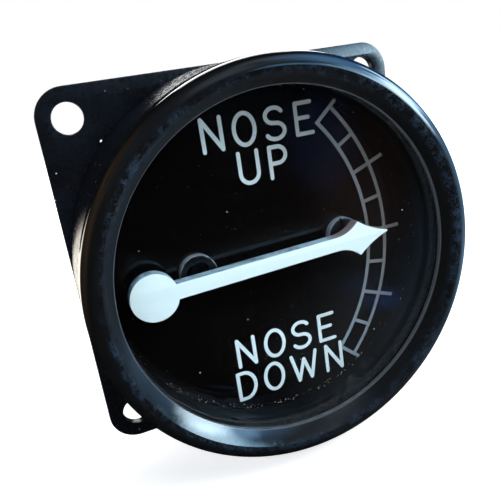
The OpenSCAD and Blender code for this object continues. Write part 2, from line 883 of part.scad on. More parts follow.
module transfer_wheel() {
    hole_pitch_r = root_r(wheel_teeth) - wheel_web - wheel_hole_r;
    color("#c9a75f") upright() on_transfer() difference() {
        union() {
            gear(wheel_teeth, 180, wheel_back, wheel_front);
            disc(pinion_hub_r, wheel_back - 1.2, wheel_front);
        }
        disc(arbor_r + press_gap, wheel_back - 2, wheel_front + over);
        around(4, hole_pitch_r, 45) disc(wheel_hole_r, wheel_back - over, wheel_front + over);
    }
}

module transfer_pinion() {
    z0 = sector_middle - pinion_len / 2;
    color("#a8abb0") upright() on_transfer() difference() {
        union() {
            gear(pinion_teeth, 180, z0, z0 + pinion_len);
            disc(pinion_hub_r, wheel_front, z0);
        }
        disc(arbor_r + press_gap, wheel_front - over, z0 + pinion_len + over);
    }
}

module drive_spindle() {
    color("#a8abb0") upright() on_drive() difference() {
        union() {
            disc(spindle_r, socket_top, wheel_middle + pinion_len / 2 + 0.3);
            disc(socket_head_r, socket_end, socket_top);
        }
        disc(socket_r, socket_end - over, socket_end + socket_depth);
        translate([-socket_head_r - over, -socket_slot_w / 2, socket_end - over])
            cube([2 * (socket_head_r + over), socket_slot_w, 1 + over]);
    }
}

module drive_pinion() {
    z0 = wheel_middle - pinion_len / 2;
    color("#a8abb0") upright() on_drive() difference() {
        union() {
            gear(pinion_teeth, 180 / pinion_teeth, z0, z0 + pinion_len);
            disc(spindle_r + hub_wall, shoulder_bottom, z0);
        }
        disc(spindle_r + press_gap, shoulder_bottom - over, z0 + pinion_len + over);
    }
}

module spindle_collar() {
    color("#8c8f94") upright() on_drive()
        ring(collar_r, spindle_r + press_gap, collar_front - collar_t, collar_front);
}

bezel_ring();
cover_glass();
glass_gasket();
spacer_ring();
dial_plate();
scale_inlay();
dial_screw();
pointer_bush();
bush_nut();
case_drum();
flange_plate();
flange_screws();
front_plate();
pillars();
pillar_screws();
back_plate();
arbor_bushes();
stop_pins();
spring_stud();
hairspring();
rear_cover();
cover_gasket();
cover_screws();
drive_bushes();
drive_union();
pointer();
pointer_hub();
pointer_spindle();
sector_gear();
sector_collet();
spring_collet();
transfer_arbor();
transfer_wheel();
transfer_pinion();
drive_spindle();
drive_pinion();
spindle_collar();
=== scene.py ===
"""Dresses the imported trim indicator: bezel, glass, dial, pointer, case, movement and rear drive."""

import json
import logging
import math
from dataclasses import dataclass
from enum import Enum

import bmesh
import bpy
from mathutils import Matrix, Vector

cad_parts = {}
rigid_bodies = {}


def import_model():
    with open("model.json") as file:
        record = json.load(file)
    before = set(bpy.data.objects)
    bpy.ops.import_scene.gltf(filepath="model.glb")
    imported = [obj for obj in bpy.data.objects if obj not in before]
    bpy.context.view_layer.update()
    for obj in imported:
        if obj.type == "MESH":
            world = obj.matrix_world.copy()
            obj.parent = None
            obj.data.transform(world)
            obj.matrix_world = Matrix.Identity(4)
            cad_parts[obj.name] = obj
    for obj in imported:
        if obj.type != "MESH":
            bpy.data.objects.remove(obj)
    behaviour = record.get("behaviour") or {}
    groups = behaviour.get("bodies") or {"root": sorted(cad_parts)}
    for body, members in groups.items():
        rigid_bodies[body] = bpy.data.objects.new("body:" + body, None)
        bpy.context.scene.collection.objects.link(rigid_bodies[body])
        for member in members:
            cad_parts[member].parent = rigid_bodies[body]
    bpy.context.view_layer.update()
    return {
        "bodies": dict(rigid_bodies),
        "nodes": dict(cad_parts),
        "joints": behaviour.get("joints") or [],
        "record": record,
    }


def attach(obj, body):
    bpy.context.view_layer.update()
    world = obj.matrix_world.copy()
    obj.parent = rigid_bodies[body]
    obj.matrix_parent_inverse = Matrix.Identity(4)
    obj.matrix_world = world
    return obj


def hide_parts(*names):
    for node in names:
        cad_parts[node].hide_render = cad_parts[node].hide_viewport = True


LOG = logging.getLogger("trim_indicator")
MM = 0.001
MERGE = 1e-7  # Points nearer to each other than this are one, in metres
MERGE_FILL = 2e-8  # The same for the thin strokes of the legends
SHARP = 35.0  # Edges above this angle stay sharp, in degrees
NO_EDGE = 90.0  # Half side beyond every piece, so that the enamel has no rubbed edge
UPRIGHT = (math.pi / 2, 0, 0)  # Turns a shape built round +Z to the dial's axis
Point = tuple[float, float]
Triple = tuple[float, float, float]
Values = dict[str, object]
Socket = bpy.types.NodeSocket
Tree = bpy.types.NodeTree


class Body(Enum):
    """The bodies that pieces ride on."""

    HOUSING = "housing"
    POINTER = "pointer_movement"


class Axis(Enum):
    """Where a turned pattern has its centre, in mm to the right of the dial's centre."""

    CENTRE = 0.0
    PIVOT = -12.0
    TRANSFER = 9.0


def srgb(code: str) -> tuple[float, float, float, float]:
    """Turns an sRGB hex colour into linear light.

    Args:
        code: Colour such as "#1a2b3c".

    Returns:
        Red, green, blue and an alpha of 1.
    """
    parts = [int(code[i:i + 2], 16) / 255 for i in (1, 3, 5)]
    return (*[p / 12.92 if p <= 0.04045 else ((p + 0.055) / 1.055) ** 2.4 for p in parts], 1.0)


def oval(cx: float, cz: float, rx: float, rz: float, a0: float, a1: float,
         steps: int) -> list[Point]:
    """Gives points on part of an ellipse.

    Args:
        cx: Centre across.
        cz: Centre up.
        rx: Radius across.
        rz: Radius up.
        a0: First angle in degrees.
        a1: Last angle in degrees.
        steps: Number of steps.

    Returns:
        steps + 1 points.
    """
    angles = [math.radians(a0 + (a1 - a0) * i / steps) for i in range(steps + 1)]
    return [(cx + rx * math.cos(a), cz + rz * math.sin(a)) for a in angles]


def arc(cx: float, cz: float, r: float, a0: float, a1: float, steps: int) -> list[Point]:
    """Gives points on an arc, as oval does."""
    return oval(cx, cz, r, r, a0, a1, steps)


def circle(cx: float, cz: float, r: float, count: int) -> list[Point]:
    """Gives so many points on a full circle, clockwise as seen from the front."""
    return arc(cx, cz, r, 0, -360 * (count - 1) / count, count - 1)


def add(tree: Tree, kind: str, inputs: dict | None = None, **settings: object) -> bpy.types.Node:
    """Adds a node with its settings and links.

    Args:
        tree: Node tree to add to.
        kind: Node type.
        inputs: Socket name or index to a value, or to the output that feeds it.
        **settings: Attribute values of the node.

    Returns:
        The new node.
    """
    node = tree.nodes.new(kind)
    for key, value in settings.items():
        setattr(node, key, value)
    for key, value in (inputs or {}).items():
        if isinstance(value, Socket):
            tree.links.new(value, node.inputs[key])
        else:
            node.inputs[key].default_value = value
    return node


def feed(kind: str, inputs: dict, **settings: object) -> bpy.types.Node:
    """Adds a node, as add does, to the tree of the first socket among its inputs."""
    source = next(value for value in inputs.values() if isinstance(value, Socket))
    return add(source.id_data, kind, inputs, **settings)


def calc(operation: str, *values: object) -> Socket:
    """Gives the result of a Math node."""
    return feed("ShaderNodeMath", dict(enumerate(values)), operation=operation).outputs[0]


def vector(operation: str, *values: object) -> Socket:
    """Gives the vector that a Vector Math node makes."""
    node = feed("ShaderNodeVectorMath", dict(enumerate(values)), operation=operation)
    return node.outputs[0]


def measure(operation: str, *values: object) -> Socket:
    """Gives the number that a Vector Math node makes, such as a length."""
    node = feed("ShaderNodeVectorMath", dict(enumerate(values)), operation=operation)
    return node.outputs["Value"]


def xyz(x: object = 0.0, y: object = 0.0, z: object = 0.0) -> Socket:
    """Joins three numbers to a vector."""
    return feed("ShaderNodeCombineXYZ", {0: x, 1: y, 2: z}).outputs[0]


def split(value: Socket) -> bpy.types.NodeOutputs:
    """Parts a vector into its three numbers."""
    return feed("ShaderNodeSeparateXYZ", {0: value}).outputs


def ramp(value: Socket, low: float = 0.0, high: float = 1.0, first: float = 0.0,
         last: float = 1.0, kind: str = "LINEAR") -> Socket:
    """Maps low to high onto first to last, and holds the ends.

    Args:
        value: Number to map.
        low: Value that gives first.
        high: Value that gives last.
        first: Result at low.
        last: Result at high.
        kind: Interpolation, such as SMOOTHSTEP.

    Returns:
        The mapped number.
    """
    return feed("ShaderNodeMapRange", {
        "Value": value, "From Min": low, "From Max": high, "To Min": first, "To Max": last},
        interpolation_type=kind).outputs[0]


def blend(amount: Socket, first: Socket | str, second: Socket | str) -> Socket:
    """Mixes two colours, each a socket or an sRGB hex code."""
    a, b = (srgb(c) if isinstance(c, str) else c for c in (first, second))
    return feed("ShaderNodeMix", {0: amount, 6: a, 7: b}, data_type="RGBA").outputs[2]


def shade(amount: Socket, first: Socket, second: Socket) -> Socket:
    """Mixes two shaders."""
    return feed("ShaderNodeMixShader", {0: amount, 1: first, 2: second}).outputs[0]


def noise(at: Socket, scale: float, detail: float, rough: float = 0.5) -> Socket:
    """Gives noise with so many hills to the unit of its coordinates."""
    return feed("ShaderNodeTexNoise", {
        "Vector": at, "Scale": scale, "Detail": detail, "Roughness": rough}).outputs["Fac"]


def stretch(mm: Socket, turn: float, scale: Triple) -> Socket:
    """Turns coordinates about the dial's axis and scales them, to draw noise out into lines."""
    return feed("ShaderNodeMapping", {
        "Vector": mm, "Rotation": (0, turn, 0), "Scale": scale}).outputs[0]


def specks(mm: Socket, scale: float, channel: int, least: float,
           size: float) -> Socket:
    """Strews specks, one at the middle of some cells of a Voronoi pattern.

    Args:
        mm: Coordinates in millimetres.
        scale: Cells to the millimetre.
        channel: Channel of the cell's random colour that sizes its speck.
        least: Value of the channel below which the cell stays empty.
        size: Largest radius of a speck, as a part of its cell.

    Returns:
        1 inside a speck and 0 outside.
    """
    cell = feed("ShaderNodeTexVoronoi", {"Vector": mm, "Scale": scale}).outputs
    keep = feed("ShaderNodeSeparateColor", {0: cell["Color"]}).outputs[channel]
    return calc("LESS_THAN", cell["Distance"], ramp(keep, least, 1, 0, size))


def from_axis(mm: Socket) -> Socket:
    """Gives the distance from the axis that runs from front to back."""
    return measure("LENGTH", vector("MULTIPLY", mm, (1, 0, 1)))


def bump(height: Socket, strength: float, depth: float) -> Socket:
    """Gives a normal bent by a height that is depth millimetres at 1."""
    return feed("ShaderNodeBump", {
        "Height": height, "Strength": strength, "Distance": depth * MM}).outputs[0]


def turned(radius: Socket, pitch: float, strength: float) -> Socket:
    """Gives a normal bent by the fine rings that a lathe leaves, pitch millimetres apart."""
    turns = calc("MULTIPLY", radius, 2 * math.pi / pitch)
    return bump(calc("SINE", turns), strength, 0.02)


def coat(colour: Socket, rough: Socket | float, normal: Socket,
         **values: float) -> Socket:
    """Gives a Principled shader; values go to its other inputs by their names."""
    return feed("ShaderNodeBsdfPrincipled", {
        "Base Color": colour, "Roughness": rough, "Normal": normal, **values}).outputs[0]


def blank(owner: bpy.types.Material | bpy.types.World) -> Tree:
    """Gives a new material or world an empty tree.

    Args:
        owner: Material or world.

    Returns:
        Its tree.
    """
    owner.use_nodes = True
    owner.node_tree.nodes.clear()
    return owner.node_tree


@dataclass(frozen=True)
class Finish:
    """A material made of nodes that read Object coordinates in millimetres."""

    name: str
    slot: str
    centre = Axis.CENTRE  # Not a field: each kind of finish has its own

    def shader(self, mm: Socket) -> Socket:
        """Makes the shader.

        Args:
            mm: Coordinates in millimetres, from the finish's axis.

        Returns:
            The shader's output.
        """
        raise NotImplementedError

    def build(self) -> bpy.types.Material:
        """Makes the material.

        Returns:
            The material.
        """
        material = bpy.data.materials.new(self.name)
        tree = blank(material)
        mm = add(tree, "ShaderNodeMapping", {
            "Vector": add(tree, "ShaderNodeTexCoord").outputs["Object"],
            "Scale": (1000, 1000, 1000), "Location": (-self.centre.value, 0, 0)})
        surface = self.shader(mm.outputs[0])
        add(tree, "ShaderNodeOutputMaterial", {"Surface": surface})
        return material


@dataclass(frozen=True)
class BezelEnamel(Finish):
    """Stoved gloss enamel on a spun brass ring: deep black, its crest rubbed a dark blue-grey that is
    partly wear and partly painted sheen, and a painted highlight along the lip.
    """

    base: str = "#0e0e0e"
    # Crest colour: partly rubbed enamel, partly a painted sheen of light on the crest
    worn: str = "#2c3d4e"
    # Seen at the chips, and also the colour of the painted highlight on the lip
    metal: str = "#7d8288"
    crest_r: float = 27.8
    lip_r: float = 25.95

    def shader(self, mm: Socket) -> Socket:
        """Makes the shader."""
        radius = from_axis(mm)
        away = calc("ABSOLUTE", calc("SUBTRACT", radius, self.crest_r))
        band = ramp(away, 0.1, 1.1, 1, 0, "SMOOTHSTEP")
        # Handling marks of half a millimetre to two, broken into specks of about 0.2 mm
        blotch = noise(mm, 0.55, 6, 0.7)
        speck = noise(mm, 4.5, 4, 0.9)
        rub = calc("MULTIPLY", blotch, speck)
        # Hands have rubbed some thirds of the ring more than others; the painted sheen on the crest
        # follows the same patches
        hands = ramp(noise(mm, 0.045, 1), 0.42, 0.6, 0.45)
        local = calc("MULTIPLY", band, hands)
        # Wear and painted sheen: where this is high the crest takes the blue-grey colour
        wear_and_sheen = calc("MULTIPLY", local, ramp(rub, 0.22, 0.33))
        colour = blend(calc("MULTIPLY", wear_and_sheen, 0.75), self.base, self.worn)
        # Small chips show the metal
        chip = calc("MULTIPLY", ramp(rub, 0.44, 0.47), local)
        colour = blend(chip, colour, self.metal)
        # A narrow band of the lip against the glass is painted lighter: a painted highlight on the
        # lip's edge
        painted_lip_highlight = ramp(radius, self.lip_r + 0.05, self.lip_r + 0.2, 0.3, 0, "SMOOTHSTEP")
        colour = blend(painted_lip_highlight, colour, self.metal)
        # Orange peel of the sprayed coat, about 1.5 mm from hill to hill
        height = calc("MULTIPLY_ADD", speck, 0.3, noise(mm, 0.7, 1))
        rough = ramp(wear_and_sheen, first=0.05, last=0.24)
        return coat(colour, rough, bump(height, 0.35, 0.02), IOR=1.52)


@dataclass(frozen=True)
class CaseEnamel(Finish):
    """Stove enamel over brass sheet: semi-gloss black with dust, white specks and rubbed edges."""

    base: str = "#0c0d10"
    haze: str = "#1c2634"
    speck: str = "#c8cbd0"
    edge: str = "#4d5660"
    half_side: float = 30.15
    roughness: float = 0.27

    def shader(self, mm: Socket) -> Socket:
        """Makes the shader."""
        hazy = ramp(noise(mm, 0.09, 4, 0.6), 0.45, 0.75, last=0.35)
        colour = blend(hazy, self.base, self.haze)
        # Dust grains up to 0.27 mm across in half of the cells, which are 1.1 mm wide
        colour = blend(specks(mm, 0.9, 0, 0.45, 0.12), colour, self.speck)
        # The coat is thin along the sheared edge of the flange
        x, _, z = split(mm)
        out = calc("MAXIMUM", calc("ABSOLUTE", x), calc("ABSOLUTE", z))
        grain = noise(mm, 1.3, 5)
        ragged = calc("MULTIPLY_ADD", grain, 0.5, out)
        rim = ramp(ragged, self.half_side + 0.15, self.half_side + 0.3, last=0.75)
        colour = blend(rim, colour, self.edge)
        rough = ramp(grain, 0.3, 0.7, self.roughness - 0.06, self.roughness + 0.1)
        return coat(colour, rough, bump(grain, 0.25, 0.03), IOR=1.5)


@dataclass(frozen=True)
class DialLaminate(Finish):
    """Polished phenolic laminate: black, mirror-like, with hairline scratches and fine dust."""

    base: str = "#040406"
    warm: str = "#0d0806"
    dust: str = "#8d9095"

    def shader(self, mm: Socket) -> Socket:
        """Makes the shader."""
        colour = blend(noise(mm, 0.05, 3), self.base, self.warm)
        # Specks up to 0.26 mm across in a fifth of the cells, which are 1.4 mm wide
        colour = blend(specks(mm, 0.7, 1, 0.8, 0.09), colour, self.dust)
        hairs = noise(stretch(mm, 0.6, (0.05, 1, 1.6)), 1.0, 6, 0.75)
        rough = ramp(hairs, 0.35, 0.75, 0.07, 0.2)
        return coat(colour, rough, bump(hairs, 0.1, 0.02), IOR=1.55)


@dataclass(frozen=True)
class EngravingFill(Finish):
    """Wax-like paint rubbed into engraved lines: pale blue-white, with random grime and a painted
    shade that darkens it towards the upper right.
    """

    clean: str = "#e2f5fc"
    # Colour towards the upper right: painted shade, with grime on it
    soiled: str = "#8f8f8c"
    soil_from: float = -6.0
    soil_to: float = 20.0
    climb: float = 0.6

    def shader(self, mm: Socket) -> Socket:
        """Makes the shader."""
        x, _, z = split(mm)
        # Painted shade: the fill grows darker towards the upper right; random grime is added on top
        lift = calc("MULTIPLY_ADD", z, self.climb, x)
        grime = noise(mm, 0.8, 5, 0.65)
        grime_and_shade = calc("MULTIPLY_ADD", grime, 0.35,
                    ramp(lift, self.soil_from, self.soil_to))
        colour = blend(ramp(grime_and_shade, 0.15, 1.25), self.clean, self.soiled)
        return coat(colour, 0.6, bump(grime, 0.4, 0.05))


@dataclass(frozen=True)
class PointerPaint(Finish):
    """Brushed white paint on brass: clean in front; its sides a darker grey-blue of painted shade,
    thin and rubbed in patches.
    """

    centre = Axis.PIVOT
    front: str = "#e6faff"
    # Painted shade: the sides are a darker grey-blue copy of the white front
    side: str = "#a9cde2"
    bare: str = "#5d6f7c"
    rubbed: str = "#8d8284"

    def shader(self, mm: Socket) -> Socket:
        """Makes the shader."""
        facing = split(add(mm.id_data, "ShaderNodeNewGeometry").outputs["Normal"])[1]
        thin = ramp(noise(mm, 0.45, 5, 0.7), 0.5, 0.66)
        side = blend(thin, self.side, self.bare)
        # The flare's side has lost its white coat
        flare = ramp(split(mm)[0], 19.5, 21.5)
        side = blend(flare, side, self.rubbed)
        # Painted shade: faces turned away from the front take the side colour
        colour = blend(ramp(facing, -0.8, -0.35, 1, 0), side, self.front)
        # Brush marks along the pointer, about 0.3 mm apart
        marks = noise(stretch(mm, 0, (0.25, 1, 3)), 1.0, 4)
        return coat(colour, 0.48, bump(marks, 0.3, 0.06))


@dataclass(frozen=True)
class PlateGlass(Finish):
    """Polished sheet glass: clear, with a mirror-like reflection, dust and hairline scratches."""

    dust: str = "#b9c4cf"
    ior: float = 1.5

    def shader(self, mm: Socket) -> Socket:
        """Makes the shader."""
        hairs = noise(stretch(mm, -0.55, (0.03, 1, 1.2)), 1.0, 8, 0.8)
        mirror = feed("ShaderNodeBsdfGlossy", {
            "Color": (1, 1, 1, 1), "Roughness": ramp(hairs, 0.5, 0.75, 0.02, 0.12)})
        clear = add(mm.id_data, "ShaderNodeBsdfTransparent", {"Color": (0.985, 0.995, 0.99, 1)})
        # Both faces mirror alike: the node turns the ratio over on the inner side
        inner = add(mm.id_data, "ShaderNodeNewGeometry").outputs["Backfacing"]
        edge = feed("ShaderNodeFresnel", {"IOR": ramp(inner, first=self.ior, last=1 / self.ior)})
        pane = shade(edge.outputs[0], clear.outputs[0], mirror.outputs[0])
        # Dust up to 0.28 mm across in a quarter of the cells, which are 2 mm wide
        cover = calc("MULTIPLY", specks(mm, 0.5, 2, 0.72, 0.07), 0.45)
        grain = add(mm.id_data, "ShaderNodeBsdfDiffuse", {"Color": srgb(self.dust)})
        return shade(cover, pane, grain.outputs[0])


@dataclass(frozen=True)
class TurnedMetal(Finish):
    """Metal turned in a lathe: fine rings that catch the light, and a little tarnish."""

    base: str = "#b8965a"
    tarnish: str = "#6f5a36"
    roughness: float = 0.28
    ring_pitch: float = 0.25
    centre: Axis = Axis.CENTRE

    def shader(self, mm: Socket) -> Socket:
        """Makes the shader."""
        dull = ramp(noise(mm, 0.35, 6, 0.65), 0.4, 0.7)
        colour = blend(dull, self.base, self.tarnish)
        rough = ramp(dull, first=self.roughness, last=self.roughness + 0.22)
        rings = turned(from_axis(mm), self.ring_pitch, 0.12)
        return coat(colour, rough, rings, Metallic=1.0)


@dataclass(frozen=True)
class BlackHardware(Finish):
    """Blackened brass screw head: dark, with turned scratches and a rubbed light rim."""

    base: str = "#0b0c0f"
    rim: str = "#8e9aa4"
    spot: Point = (0.0, 0.0)
    rim_r: float = 2.75

    def shader(self, mm: Socket) -> Socket:
        """Makes the shader."""
        own = vector("SUBTRACT", mm, (self.spot[0], 0, self.spot[1]))
        radius = from_axis(own)
        ragged = calc("MULTIPLY_ADD", noise(mm, 1.6, 5, 0.7), 0.5, radius)
        worn = ramp(ragged, self.rim_r + 0.25, self.rim_r + 0.4)
        colour = blend(worn, self.base, self.rim)
        return coat(colour, 0.3, turned(radius, 0.2, 0.2))


@dataclass(frozen=True)
class MattCoat(Finish):
    """Rubber, gasket board, dust or inner black lacquer: mottled and slightly uneven."""

    base: str = "#17181a"
    mottle: str = "#2a2b2d"
    grain_mm: float = 0.6
    roughness: float = 0.75

    def shader(self, mm: Socket) -> Socket:
        """Makes the shader."""
        grain = noise(mm, 1 / self.grain_mm, 5, 0.6)
        colour = blend(ramp(grain, 0.4, 0.7), self.base, self.mottle)
        return coat(colour, self.roughness, bump(grain, 0.4, 0.08))


class Workshop:
    """Makes plain meshes and keeps one copy of each material."""

    made: dict[str, bpy.types.Material] = {}
    frame: dict = {}

    @classmethod
    def material(cls, finish: Finish) -> bpy.types.Material:
        """Gives the finish's material, made at its first use.

        Args:
            finish: The finish.

        Returns:
            Its material.
        """
        if finish.name not in cls.made:
            cls.made[finish.name] = finish.build()
        return cls.made[finish.name]

    @classmethod
    def dress(cls, finish: Finish, *nodes: str) -> None:
        """Puts a finish on CAD nodes as they are.

        Args:
            finish: The finish.
            *nodes: Names of the CAD nodes.
        """
        for name in nodes:
            materials = cls.frame["nodes"][name].data.materials
            if not materials:
                materials.append(None)
            for i in range(len(materials)):
                materials[i] = cls.material(finish)

    @classmethod
    def settle(cls, obj: bpy.types.Object, finish: Finish, *nodes: str,
               body: Body = Body.HOUSING) -> None:
        """Gives a new piece its finish, body and the CAD nodes that it stands for.

        Args:
            obj: The piece.
            finish: Its finish.
            *nodes: CAD nodes that it replaces.
            body: Body that it rides on.
        """
        obj.data.materials.clear()
        obj.data.materials.append(cls.material(finish))
        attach(obj, body.value)
        if nodes:
            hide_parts(*nodes)

    @staticmethod
    def piece(name: str, mesh: bpy.types.Mesh) -> bpy.types.Object:
        """Puts a mesh into the scene as an object at the origin.

        Args:
            name: Name of the piece.
            mesh: Its mesh.

        Returns:
            The piece.
        """
        obj = bpy.data.objects.new(name, mesh)
        bpy.context.scene.collection.objects.link(obj)
        return obj

    @staticmethod
    def welded(name: str, mesh: bpy.types.Mesh, sharp: float) -> bpy.types.Object:
        """Joins a mesh's equal points, turns its faces outwards and smooths it.

        Args:
            name: Name of the piece.
            mesh: Its mesh.
            sharp: Angle above which an edge stays sharp, in degrees.

        Returns:
            The piece.
        """
        shape = bmesh.new()
        shape.from_mesh(mesh)
        bmesh.ops.remove_doubles(shape, verts=shape.verts, dist=MERGE)
        bmesh.ops.recalc_face_normals(shape, faces=shape.faces)
        shape.to_mesh(mesh)
        shape.free()
        mesh.shade_smooth()
        mesh.set_sharp_from_angle(angle=math.radians(sharp))
        return Workshop.piece(name, mesh)

    @staticmethod
    def lathe(name: str, profile: list[Point], segments: int, sharp: float = SHARP,
              centre: Point = (0.0, 0.0)) -> bpy.types.Object:
        """Turns a closed profile round the dial's axis.

        Args:
            name: Name of the piece.
            profile: Radius and height above the flange's front, in mm, in order.
            segments: Steps of the full turn.
            sharp: Angle above which an edge stays sharp, in degrees.
            centre: Place of the axis on the dial, in mm.

        Returns:
            The piece.
        """
        count = len(profile)
        points, faces = [], []
        for i in range(segments):
            a, after = 2 * math.pi * i / segments, (i + 1) % segments
            points += [((centre[0] + r * math.cos(a)) * MM, -z * MM,
                        (centre[1] + r * math.sin(a)) * MM) for r, z in profile]
            faces += [(i * count + j, i * count + (j + 1) % count,
                       after * count + (j + 1) % count, after * count + j)
                      for j in range(count)]
        mesh = bpy.data.meshes.new(name)
        mesh.from_pydata(points, [], faces)
        return Workshop.welded(name, mesh, sharp)

    @staticmethod
    def plate(name: str, outlines: list[list[Point]], z0: float, z1: float,
              edge: float) -> bpy.types.Object:
        """Cuts a flat plate with softened edges; outlines after the first are holes.

        Args:
            name: Name of the piece.
            outlines: Closed outlines on the dial, in mm.
            z0: Height of its back face, in mm.
            z1: Height of its front face, in mm.
            edge: Radius of its edges, in mm.

        Returns:
            The piece.
        """
        curve = bpy.data.curves.new(name, "CURVE")
        curve.dimensions = "2D"
        curve.fill_mode = "BOTH"
        curve.extrude = (z1 - z0) / 2 * MM - edge * MM
        curve.bevel_depth = edge * MM
        curve.bevel_resolution = 2
        curve.offset = -edge * MM
        for outline in outlines:
            spline = curve.splines.new("POLY")
            spline.points.add(len(outline) - 1)
            for point, (x, y) in zip(spline.points, outline):
                point.co = (x * MM, y * MM, 0, 1)
            spline.use_cyclic_u = True
        rough = bpy.data.objects.new(name + "_curve", curve)
        bpy.context.scene.collection.objects.link(rough)
        mesh = Workshop.kept(name, rough)
        middle = Matrix.Translation((0, -(z0 + z1) / 2 * MM, 0))
        mesh.transform(middle @ Matrix.Rotation(math.pi / 2, 4, "X"))
        return Workshop.welded(name, mesh, sharp=40)

    @staticmethod
    def kept(name: str, obj: bpy.types.Object) -> bpy.types.Mesh:
        """Keeps an object's evaluated shape as a plain mesh and removes the object.

        Args:
            name: Name of the mesh.
            obj: Object with a curve or a modifier.

        Returns:
            The mesh.
        """
        graph = bpy.context.evaluated_depsgraph_get()
        mesh = bpy.data.meshes.new_from_object(obj.evaluated_get(graph))
        bpy.data.objects.remove(obj)
        mesh.name = name
        return mesh

    @staticmethod
    def grow(name: str, tree: Tree, values: Values) -> bpy.types.Object:
        """Runs a geometry tree and keeps its result as a plain mesh.

        Args:
            name: Name of the piece.
            tree: Geometry Nodes tree.
            values: Input name to value.

        Returns:
            The piece, without a modifier.
        """
        seed = Workshop.piece(name + "_seed", bpy.data.meshes.new(name + "_seed"))
        modifier = seed.modifiers.new("grow", "NODES")
        modifier.node_group = tree
        for item in tree.interface.items_tree:
            if item.in_out == "INPUT":
                modifier[item.identifier] = values[item.name]
        return Workshop.piece(name, Workshop.kept(name, seed))


def new_tree(name: str, values: Values) -> tuple[Tree, bpy.types.NodeOutputs]:
    """Starts a Geometry Nodes tree with one named input for each value.

    Args:
        name: Name of the tree.
        values: Input name to a value, whose type gives the socket's type.

    Returns:
        The tree and its inputs.
    """
    tree = bpy.data.node_groups.new(name, "GeometryNodeTree")
    tree.interface.new_socket("Geometry", in_out="OUTPUT", socket_type="NodeSocketGeometry")
    for label, value in values.items():
        kind = "NodeSocket" + type(value).__name__.capitalize()
        tree.interface.new_socket(label, in_out="INPUT", socket_type=kind)
    return tree, add(tree, "NodeGroupInput").outputs


def end_tree(geometry: Socket, material: Socket) -> Tree:
    """Makes a tree's instances real, gives them their material and ends the tree.

    Args:
        geometry: What the tree has made.
        material: The material.

    Returns:
        The tree.
    """
    real = feed("GeometryNodeRealizeInstances", {"Geometry": geometry})
    dressed = feed("GeometryNodeSetMaterial", {
        "Geometry": real.outputs[0], "Material": material})
    return feed("NodeGroupOutput", {0: dressed.outputs[0]}).id_data


def moved(geometry: Socket, **values: object) -> Socket:
    """Gives geometry after a Transform node; values are Translation and Rotation."""
    return feed("GeometryNodeTransform", {"Geometry": geometry, **values}).outputs[0]


def draw(tree: Tree, low: object, high: object, seed: object) -> Socket:
    """Draws a random number for each point."""
    return add(tree, "FunctionNodeRandomValue", {2: low, 3: high, "Seed": seed},
               data_type="FLOAT").outputs[1]


@dataclass
class Bezel:
    """The screwed bezel ring with its rounded crest, inner slope and threaded skirt."""

    outer_r: float = 30.25
    opening_r: float = 25.95
    crest: float = 20.595
    round_r: float = 2.0
    lip_front: float = 18.5
    lip_round: float = 0.16
    glass_front: float = 17.9
    skirt_in: float = 27.3
    skirt_out: float = 28.6
    skirt_end: float = 12.4
    chamfer: float = 0.3
    pitch: float = 0.6
    groove: float = 0.25
    seat: float = 16.0
    segments: int = 256
    finish: Finish = BezelEnamel("stoved_gloss_enamel_bezel", "bezel_enamel")

    def profile(self) -> list[Point]:
        """Gives the ring's section, the thread as fine grooves on the skirt.

        Returns:
            Radius and height of its points, in order.
        """
        section = [(self.skirt_in, self.glass_front), (self.skirt_in, self.skirt_end),
                   (self.skirt_out - self.chamfer, self.skirt_end)]
        z = self.skirt_end + self.chamfer
        while z < self.seat - self.pitch:
            section += [(self.skirt_out, z), (self.skirt_out - self.groove, z + self.pitch / 2)]
            z += self.pitch
        rim = [(self.outer_r - 0.12, self.seat), (self.outer_r - 0.03, self.seat + 0.04),
               (self.outer_r, self.seat + 0.14)]
        crown = arc(self.outer_r - self.round_r, self.crest - self.round_r, self.round_r,
                    0, 106, 48)
        lip = arc(self.opening_r + self.lip_round, self.lip_front - 0.12, self.lip_round,
                  110, 180, 6)
        return [*section, (self.skirt_out, z), (self.skirt_out, self.seat), *rim, *crown, *lip,
                (self.opening_r, self.glass_front)]

    def build(self) -> None:
        """Turns and finishes the ring."""
        ring = Workshop.lathe("bezel_turned", self.profile(), self.segments, sharp=50)
        Workshop.settle(ring, self.finish, "bezel_ring")
        LOG.info("bezel: %d faces", len(ring.data.polygons))


@dataclass
class Glazing:
    """The cover glass with the rubber ring and the spacer under it."""

    glass: Finish = PlateGlass("polished_sheet_glass", "clear_glass")
    rubber: Finish = MattCoat("moulded_black_rubber", "black_rubber",
                              "#1b1c1e", "#3a3b3b", 0.5, 0.8)
    spacer: Finish = MattCoat("brushed_black_lacquer", "black_gloss",
                              "#08090b", "#101216", 1.2, 0.35)

    def build(self) -> None:
        """Finishes the three pieces."""
        Workshop.dress(self.glass, "cover_glass")
        Workshop.dress(self.rubber, "glass_gasket")
        Workshop.dress(self.spacer, "spacer_ring")
        LOG.info("glazing: glass, rubber ring and spacer")


